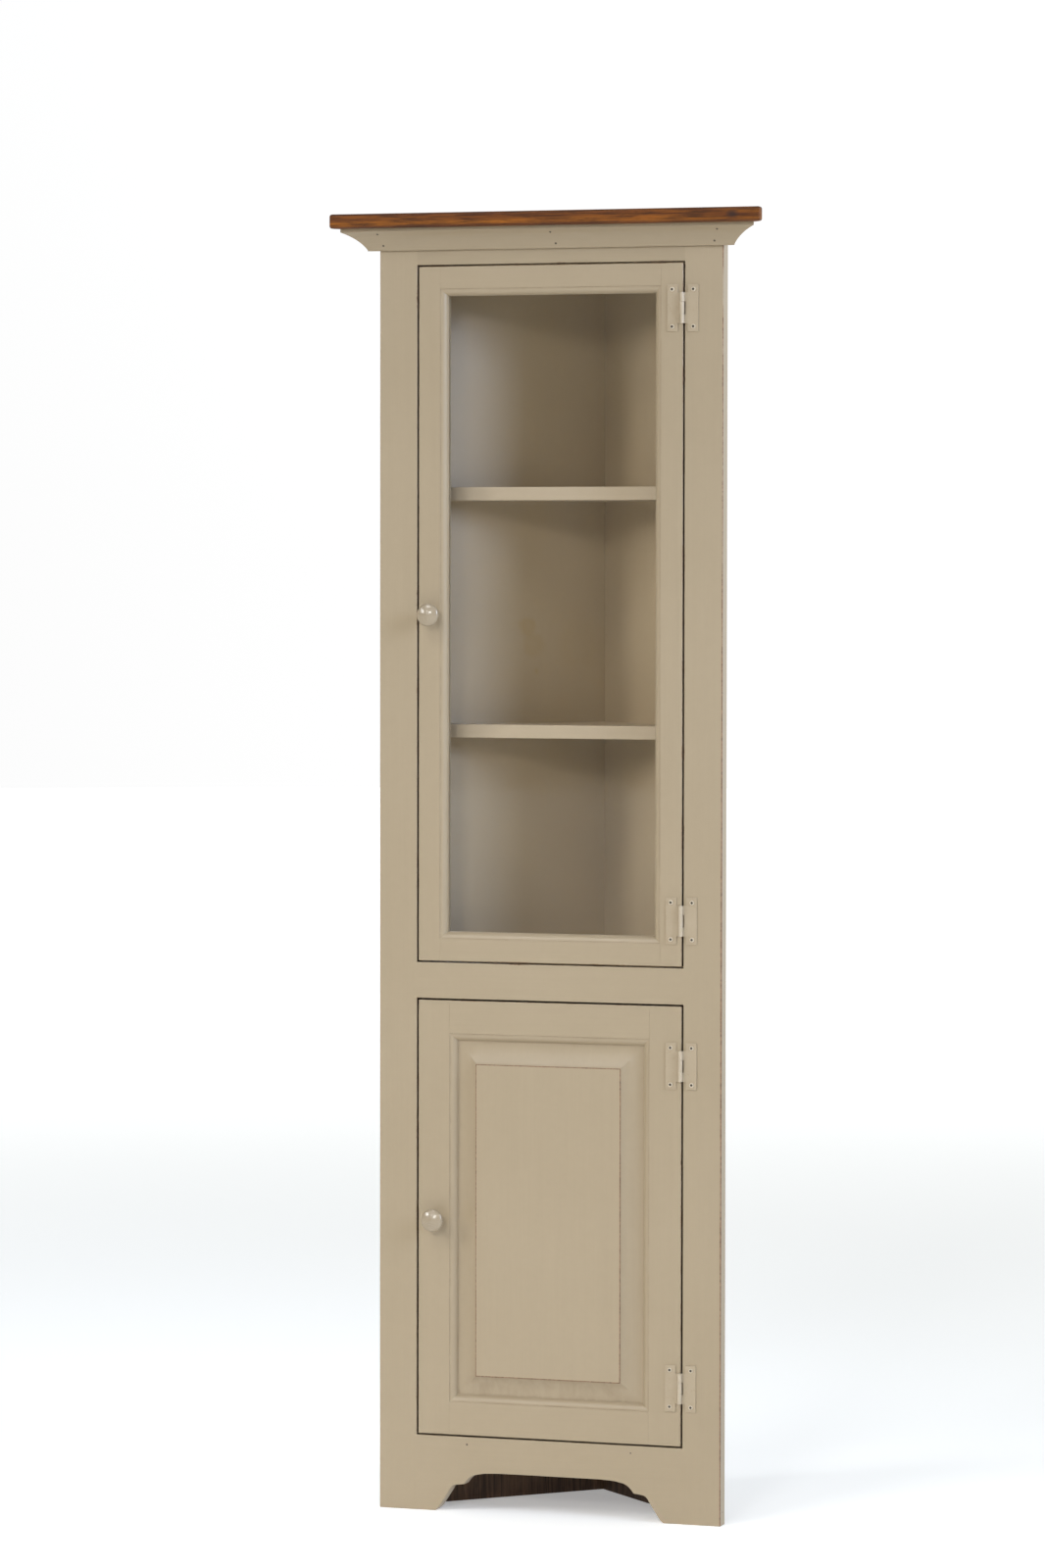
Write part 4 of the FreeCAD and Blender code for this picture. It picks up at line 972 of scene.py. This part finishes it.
def door_section(width, stick, rad, glazed, r_out):
    """(distance from the outer edge, depth, wear, grime) round the bar."""
    mm = 0.001
    tf = width - stick
    head = rounded([(0.0, 10 * mm), (0.0, 0.0), (tf, 0.0), (tf, 0.9 * mm)],
                   [-1, r_out, 0.30 * mm, -1], [0.0, 0.48, 0.34, 0.0])
    pts = [[t, y, w, 0.0] for t, y, w in head[1:-1]]
    pts.append([tf, 0.9 * mm, 0.0, 0.9])
    arc = arc_points((tf, 0.9 * mm), (width - 0.6 * mm, 8.0 * mm), rad,
                     1, 9)
    chord_mid = ((tf + width - 0.6 * mm) / 2, 4.45 * mm)
    mid = arc[len(arc) // 2]
    if mid[1] > chord_mid[1]:      # the moulding is full, not hollow
        arc = arc_points((tf, 0.9 * mm), (width - 0.6 * mm, 8.0 * mm), rad,
                         -1, 9)
    for i, (t, y) in enumerate(arc[1:-1]):
        pts.append([t, y, 0.0, 0.25 if i == 0 else 0.0])
    pts.append([width - 0.6 * mm, 8.0 * mm, 0.0, 0.7])
    pts.append([width - 0.25 * mm, 8.0 * mm, 0.0, 0.0])
    pts.append([width, 8.25 * mm, 0.25, 0.0])
    if glazed:
        pts += [[width, 11.0 * mm, 0, 0.35], [width - 8.0 * mm, 11.0 * mm, 0, 0],
                [width - 8.0 * mm, THK, 0, 0]]
    else:
        pts += [[width, 9.0 * mm, 0, 0.6], [width - 10.0 * mm, 9.0 * mm, 0, 0],
                [width - 10.0 * mm, 15.0 * mm, 0, 0],
                [width, 15.0 * mm, 0, 0], [width, THK, 0.2, 0]]
    pts.append([tf, THK, 0, 0])
    pts += [[0.0006, THK, 0, 0], [0.00018, THK - 0.00018, 0.2, 0],
            [0.0, THK - 0.0006, 0, 0], [0.0, 0.0045, 0, 0],
            [0.0, 0.0026, 0, 0]]
    return pts, tf


def door_stile(node, side, width, stick, rad, z0, z1, f0, f1, glazed):
    """z0, z1: the stile's ends. f0, f1: where the rails' mouldings start."""
    s = Shell()
    seed = side * 2.0 + z0 * 5

    def ring(kind, z, d=0.0):
        r = 0.0012 * (1 + 0.30 * wob(z, seed))
        sec, tf = door_section(width, stick, rad, glazed, r)
        pts = []
        for t, y, w, gr in sec:
            zz = z
            if kind == "plain":
                t = min(t, tf)
                if d > 0:
                    w = max(w, 0.4) if d < 0.0011 else w
                    t = max(t, d)
                    y = min(max(y, d), THK - d * 0.5)
                else:
                    gr = 0.0
            elif kind == "low" and t > tf:
                zz = z + (t - tf)
            elif kind == "high" and t > tf:
                zz = z - (t - tf)
            # the door's outer side inside the gap gets painted shade
            edge = 1.0 if t < 1e-5 and 0.0018 < y < THK - 0.0004 else 0.0
            pts.append(((side * (0.194 - t), F + y, zz), w, gr, edge))
        return s.ring(pts)

    r = 0.0012
    angles = [math.pi / 6 * k for k in range(4)]
    rings = [ring("plain", z0 + r * (1 - math.cos(a)), r * (1 - math.sin(a)))
             for a in angles[:-1]]
    rings.append(ring("plain", z0 + r))
    rings.append(ring("plain", f0 - 0.0002))
    rings.append(ring("low", f0))
    for z in steps(f0 + stick + 0.004, f1 - stick - 0.004, 0.022):
        rings.append(ring("full", z))
    rings.append(ring("high", f1))
    rings.append(ring("plain", f1 + 0.0002))
    rings.append(ring("plain", z1 - r))
    rings += [ring("plain", z1 - r * (1 - math.cos(a)), r * (1 - math.sin(a)))
              for a in angles[:-1][::-1]]
    for a, b in zip(rings, rings[1:]):
        s.join(a, b)
    s.cap(rings[0])
    s.cap(rings[-1])
    return s.done(node + ".shaped", [PZ], BODY[node], [node])


def door_rail(node, up, width, stick, rad, edge, w_stile, s_stile, glazed):
    s = Shell()
    xf = 0.194 - w_stile + s_stile

    def ring(kind, x):
        r = 0.0012 * (1 + 0.30 * wob(x, edge * 3))
        sec, tf = door_section(width, stick, rad, glazed, r)
        pts = []
        for t, y, w, gr in sec:
            xx = x
            if kind == "left" and t > tf:
                xx = x + (t - tf)
            if kind == "right" and t > tf:
                xx = x - (t - tf)
            z = edge - t if up else edge + t
            # the rail's outer side inside the gap gets painted shade
            gap = 1.0 if t < 1e-5 and 0.0018 < y < THK - 0.0004 else 0.0
            pts.append(((xx, F + y, z), w, gr, gap))
        return s.ring(pts), sec, tf

    first, sec, tf = ring("left", -xf)
    rings = [first]
    for x in steps(-xf + stick + 0.004, xf - stick - 0.004, 0.022):
        rings.append(ring("full", x)[0])
    rings.append(ring("right", xf)[0])
    for a, b in zip(rings, rings[1:]):
        s.join(a, b)
    # two flat faces at each end: square to the rail, and along the mitre
    i0 = next(i for i, p in enumerate(sec) if abs(p[0] - tf) < 1e-9
              and abs(p[1] - 0.0009) < 1e-9)
    i1 = next(i for i, p in enumerate(sec) if abs(p[0] - tf) < 1e-9
              and abs(p[1] - THK) < 1e-9)
    for rg in (rings[0], rings[-1]):
        s.cap(rg[i0:i1 + 1])
        s.cap(rg[i1:] + rg[:i0 + 1])
    return s.done(node + ".shaped", [PX], BODY[node], [node])


UB, UT, LB, LT = 0.7795, 1.7554, 0.1089, 0.7239
for node, side in (("upper_door_stile_knob", -1), ("upper_door_stile_hinge", 1)):
    door_stile(node, side, 0.0415, 0.0097, 0.0096, UB, UT,
               UB + 0.0410 - 0.0097, UT - 0.0408 + 0.0097, True)
door_rail("upper_door_rail_top", True, 0.0408, 0.0097, 0.0096, UT, 0.0415,
          0.0097, True)
door_rail("upper_door_rail_bottom", False, 0.0410, 0.0097, 0.0096, UB, 0.0415,
          0.0097, True)
for node, side in (("lower_door_stile_knob", -1), ("lower_door_stile_hinge", 1)):
    door_stile(node, side, 0.05715, 0.0105, 0.0107, LB, LT,
               LB + 0.05715 - 0.0105, LT - 0.05715 + 0.0105, False)
door_rail("lower_door_rail_top", True, 0.05715, 0.0105, 0.0107, LT, 0.05715,
          0.0105, False)
door_rail("lower_door_rail_bottom", False, 0.05715, 0.0105, 0.0107, LB,
          0.05715, 0.0105, False)


def raised_panel():
    s = Shell()
    mm = 0.001
    edge = (-146.3, 144.3, 156.6, 672.2)
    sight = (-136.85, 136.85, 166.05, 666.75)
    field = (-108.0, 106.0, 193.4, 635.0)
    arc = arc_points((0.0, 9.1), (30.0, -0.2), 46.0, 1, 12)
    if arc[6][1] < 4.45:           # hollow: behind the straight line
        arc = arc_points((0.0, 9.1), (30.0, -0.2), 46.0, -1, 12)
    loops = [(edge, 14.9, 0, 0), (edge, 9.1, 0, 0)]
    for i, (a, y) in enumerate(arc):
        u = a / 30.0
        box = tuple(p + (q - p) * u for p, q in zip(sight, field))
        loops.append((box, y, 0.0, 0.9 if i == 0 else
                      (0.8 if i == len(arc) - 1 else 0.42)))
    e = 0.35
    loops.append((field, -1.5 + e, 0.5, 0.4))
    loops.append(((field[0] + 0.1, field[1] - 0.1, field[2] + 0.1,
                   field[3] - 0.1), -1.5 + 0.3 * e, 0.95, 0))
    for grow, w in ((0.36, 0.92), (1.0, 0.80), (1.9, 0.0)):
        loops.append(((field[0] + grow, field[1] - grow, field[2] + grow,
                       field[3] - grow), -1.5, w, 0))
    rings = []
    nx, nz = 12, 20
    for (x0, x1, z0, z1), y, w, gr in loops:
        pts = []
        for i in range(nx):
            pts.append((x0 + (x1 - x0) * i / nx, z0))
        for i in range(nz):
            pts.append((x1, z0 + (z1 - z0) * i / nz))
        for i in range(nx):
            pts.append((x1 - (x1 - x0) * i / nx, z1))
        for i in range(nz):
            pts.append((x0, z1 - (z1 - z0) * i / nz))
        rings.append(s.ring([((x * mm, F + y * mm, z * mm),
                              w * (1.0 + 0.25 * wob((x + z) * mm, 8.0)),
                              gr * (1.0 if k < nx else 0.16))
                             for k, (x, z) in enumerate(pts)]))
    for a, b in zip(rings, rings[1:]):
        s.join(a, b)
    s.cap(rings[0])
    s.cap(rings[-1])
    return s.done("raised_panel.shaped", [PZ], "lower_door",
                  ["raised_panel"], angle=28.0)


raised_panel()


def glass_parts():
    s = Shell()
    lo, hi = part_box("glass_pane")
    pts = [(lo.x, lo.z), (hi.x, lo.z), (hi.x, hi.z), (lo.x, hi.z)]
    plate(s, pts, lo.y, hi.y, lambda a, b, h: (a, h, b), 0.0003, 0.0003)
    s.done("glass_pane.shaped", [GLASS], "upper_door", ["glass_pane"])
    s = Shell()
    lo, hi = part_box("glass_stops")
    w = 0.0078
    y0, y1 = lo.y, hi.y
    # four strips with eased edges, mitre-free, butted as fitted
    bars = [(lo.x, lo.x + w, lo.z, hi.z, "z"), (hi.x - w, hi.x, lo.z, hi.z, "z"),
            (lo.x + w + 2e-4, hi.x - w - 2e-4, hi.z - w, hi.z, "x"),
            (lo.x + w + 2e-4, hi.x - w - 2e-4, lo.z, lo.z + w, "x")]
    for x0, x1, z0, z1, ax in bars:
        pts = [(x0, z0), (x1, z0), (x1, z1), (x0, z1)]
        plate(s, pts, y0, y1, lambda a, b, h: (a, h, b), 0.0003, 0.0016)
    s.done("glass_stops.shaped", [PZ], "upper_door", ["glass_stops"])


glass_parts()


# ------------------------------------------------------------------- knobs
def knob(node, x, z):
    s = Shell()
    mm = 0.001
    prof = [(0.0, 0.0), (8.2, 0.0), (8.55, -0.15), (8.6, -0.5), (8.6, -1.2),
            (8.2, -1.6), (7.6, -1.75)]
    prof += arc_points((7.6, -1.75), (6.7, -8.0), 12.0, -1, 6)[1:]
    prof += arc_points((6.7, -8.0), (14.8, -18.4), 14.0, -1, 10)[1:]
    prof += arc_points((14.8, -18.4), (16.0, -20.8), 2.6, 1, 5)[1:]
    prof += arc_points((16.0, -20.8), (13.4, -24.4), 4.6, 1, 7)[1:]
    prof += arc_points((13.4, -24.4), (1.0, -28.0), 40.0, 1, 12)[1:]
    prof += [(0.0, -28.0)]
    wear = [0.0] * len(prof)
    for i, (r, h) in enumerate(prof):
        if r > 15.4:
            wear[i] = 0.42
        if r > 8.5 and h > -1.3:
            wear[i] = 0.5
    lathe(s, [(r * mm, h * mm) for r, h in prof],
          lambda a, b, h: (x + a, F + h, z + b), 96, wear)
    return s.done(node + ".turned", [KNOB], BODY[node], [node], angle=50)


knob("upper_knob", -0.1732, 1.267)
knob("lower_knob", -0.166, 0.414)


# ---------------------------------------------------------------- hardware
def keep(node, mats, bevel=0.0, angle=40, plan=True):
    """A CAD node that stays, with finer edges and its own material."""
    o = NODES[node]
    o.data.materials.clear()
    for m in mats:
        o.data.materials.append(m)
    if bevel:
        w = o.modifiers.new("weld", "WELD")
        w.merge_threshold = 1e-6
        if plan:
            d = o.modifiers.new("planar", "DECIMATE")
            d.decimate_type = "DISSOLVE"
            d.angle_limit = math.radians(1.0)
        b = o.modifiers.new("ease", "BEVEL")
        b.width = bevel
        b.segments = 2
        b.limit_method = "ANGLE"
        b.angle_limit = math.radians(angle)
        b.use_clamp_overlap = True
        b.harden_normals = False
        n = o.modifiers.new("flats", "WEIGHTED_NORMAL")
        n.keep_sharp = False


for name in ("upper_door_hinge_leaves", "lower_door_hinge_leaves",
             "upper_frame_hinge_leaves", "lower_frame_hinge_leaves"):
    keep(name, [HINGE], 0.00045)
keep("hinge_pins", [HINGE], 0.0003)
for name in ("upper_door_hinge_screws", "lower_door_hinge_screws",
             "frame_hinge_screws"):
    keep(name, [screw_paint(name + "_overpaint", name)])
for name in ("catch_screws", "top_board_screws", "upper_knob_screw",
             "lower_knob_screw", "upper_strike_pins", "lower_strike_pins"):
    keep(name, [STEEL])
for name in ("upper_strike_plate", "lower_strike_plate"):
    keep(name, [STEEL], 0.0002)
keep("catch_blocks", [PLASTIC], 0.0006)
keep("catch_magnets", [FERRITE], 0.0003)
for name in ("crown_brads", "frame_brads"):
    keep(name, [NAIL])


# ------------------------------------------------------------------- stage
def floor():
    m, nt = tree("pale_floor")
    g = G(nt)
    n = g.noise(g.co, 0.8, 2.0, 0.5)
    col = g.mix(g.span(n, 0.3, 0.7), (0.90, 0.90, 0.90), (0.885, 0.885, 0.885))
    p = g.out(col, 0.65)
    p.inputs["Emission Color"].default_value = (1, 1, 1, 1)
    r = g.node("ShaderNodeVectorMath", operation="LENGTH")
    g.put(r.inputs[0], g.co)
    g.put(p.inputs["Emission Strength"],
          g.span(r.outputs["Value"], 1.5, 9.0, 0.32, 0.72, True))
    bm = bmesh.new()
    n = 96
    vs = [bm.verts.new((26 * math.cos(2 * math.pi * k / n),
                        26 * math.sin(2 * math.pi * k / n), 0.0))
          for k in range(n)]
    bm.faces.new(vs)
    me = bpy.data.meshes.new("studio_floor")
    bm.to_mesh(me)
    bm.free()
    ob = bpy.data.objects.new("studio_floor", me)
    me.materials.append(m)
    bpy.context.scene.collection.objects.link(ob)


floor()


def area(name, pos, look, w, h, power, color, spread=180.0):
    d = bpy.data.lights.new(name, "AREA")
    d.shape = "RECTANGLE"
    d.size, d.size_y = w, h
    d.energy = power
    d.color = color
    d.spread = math.radians(spread)
    o = bpy.data.objects.new(name, d)
    o.location = pos
    o.visible_camera = False
    o.rotation_mode = "QUATERNION"
    o.rotation_quaternion = (Vector(look) - Vector(pos)).to_track_quat("-Z", "Y")
    bpy.context.scene.collection.objects.link(o)
    return o


area("key_front", (0.803, -11.478, 4.408), (0, 0, -0.8), 2.0, 1.7, 16.8,
     (1.0, 1.0, 0.99), 36)
area("key_left", (-4.811, -4.486, 3.394), (0, 0, 0.1), 1.5, 1.5, 15.6,
     (0.98, 0.99, 1.0), 60)
area("over_front", (-1.35, -3.9, 5.4), (0, 0, -0.2), 1.8, 1.4, 11.4,
     (1.0, 1.0, 1.0), 70)
area("mid_front", (-1.79, -5.32, 3.4), (0, 0, 0.2), 1.4, 1.2, 3.4,
     (1.0, 1.0, 1.0), 60)
area("window_right", (5.2, -2.30, 3.0), (0, 0, 1.35), 1.9, 2.0, 12.5,
     (0.62, 0.74, 1.0), 36)
area("strip_right", (4.6, -0.75, 3.2), (0, 0, 1.0), 1.2, 1.8, 51,
     (0.88, 0.95, 1.0))

world = bpy.data.worlds.new("studio")
bpy.context.scene.world = world
world.use_nodes = True
wt = world.node_tree
wt.nodes.clear()
w = G(wt)
toward = w.nt.nodes.new("ShaderNodeTexCoord").outputs["Generated"]


def lobe(vec, power, color):
    """Light from one side, fading to nothing at right angles to it."""
    d = w.node("ShaderNodeVectorMath", operation="DOT_PRODUCT")
    w.put(d.inputs[0], toward)
    d.inputs[1].default_value = vec
    f = w.math("POWER", w.math("MAXIMUM", d.outputs["Value"], 0.0), power)
    c = w.node("ShaderNodeVectorMath", operation="SCALE")
    c.inputs[0].default_value = color
    w.put(c.inputs["Scale"], f)
    return c.outputs[0]


total = None
for part in (lobe((0, -1, 0), 1.0, (0.062, 0.044, 0.029)),
             lobe((0, 1, 0), 1.0, (1.07, 1.07, 1.07)),
             lobe((0.94, -0.34, 0), 2.0, (0.15, 0.17, 0.17)),
             lobe((0, 0, 1), 1.0, (0.22, 0.25, 0.25))):
    if total is None:
        total = part
    else:
        add = w.node("ShaderNodeVectorMath", operation="ADD")
        w.put(add.inputs[0], total)
        w.put(add.inputs[1], part)
        total = add.outputs[0]
bg = w.node("ShaderNodeBackground")
w.put(bg.inputs["Color"], total)
wo = w.node("ShaderNodeOutputWorld")
wt.links.new(bg.outputs[0], wo.inputs["Surface"])

# ------------------------------------------------------------------ camera
th, tilt, roll = 0.3241, 0.0386, 0.0013
fwd = Vector((-math.sin(th) * math.cos(tilt), math.cos(th) * math.cos(tilt),
              -math.sin(tilt)))
right0 = Vector((math.cos(th), math.sin(th), 0))
up0 = right0.cross(fwd)
right = right0 * math.cos(roll) + up0 * math.sin(roll)
up = up0 * math.cos(roll) - right0 * math.sin(roll)
cam_data = bpy.data.cameras.new("camera")
cam_data.lens = 129.84
cam_data.sensor_width = 36.0
cam_data.sensor_fit = "AUTO"
cam_data.clip_start, cam_data.clip_end = 0.1, 100
cam = bpy.data.objects.new("camera", cam_data)
cam.matrix_world = Matrix(((right.x, up.x, -fwd.x, 2.48199),
                           (right.y, up.y, -fwd.y, -7.62652),
                           (right.z, up.z, -fwd.z, 1.33634), (0, 0, 0, 1)))
bpy.context.scene.collection.objects.link(cam)
bpy.context.scene.camera = cam

vs = bpy.context.scene.view_settings
vs.view_transform = "Standard"
vs.look = "None"
vs.exposure = 0.0
vs.gamma = 1.0

bpy.context.view_layer.update()
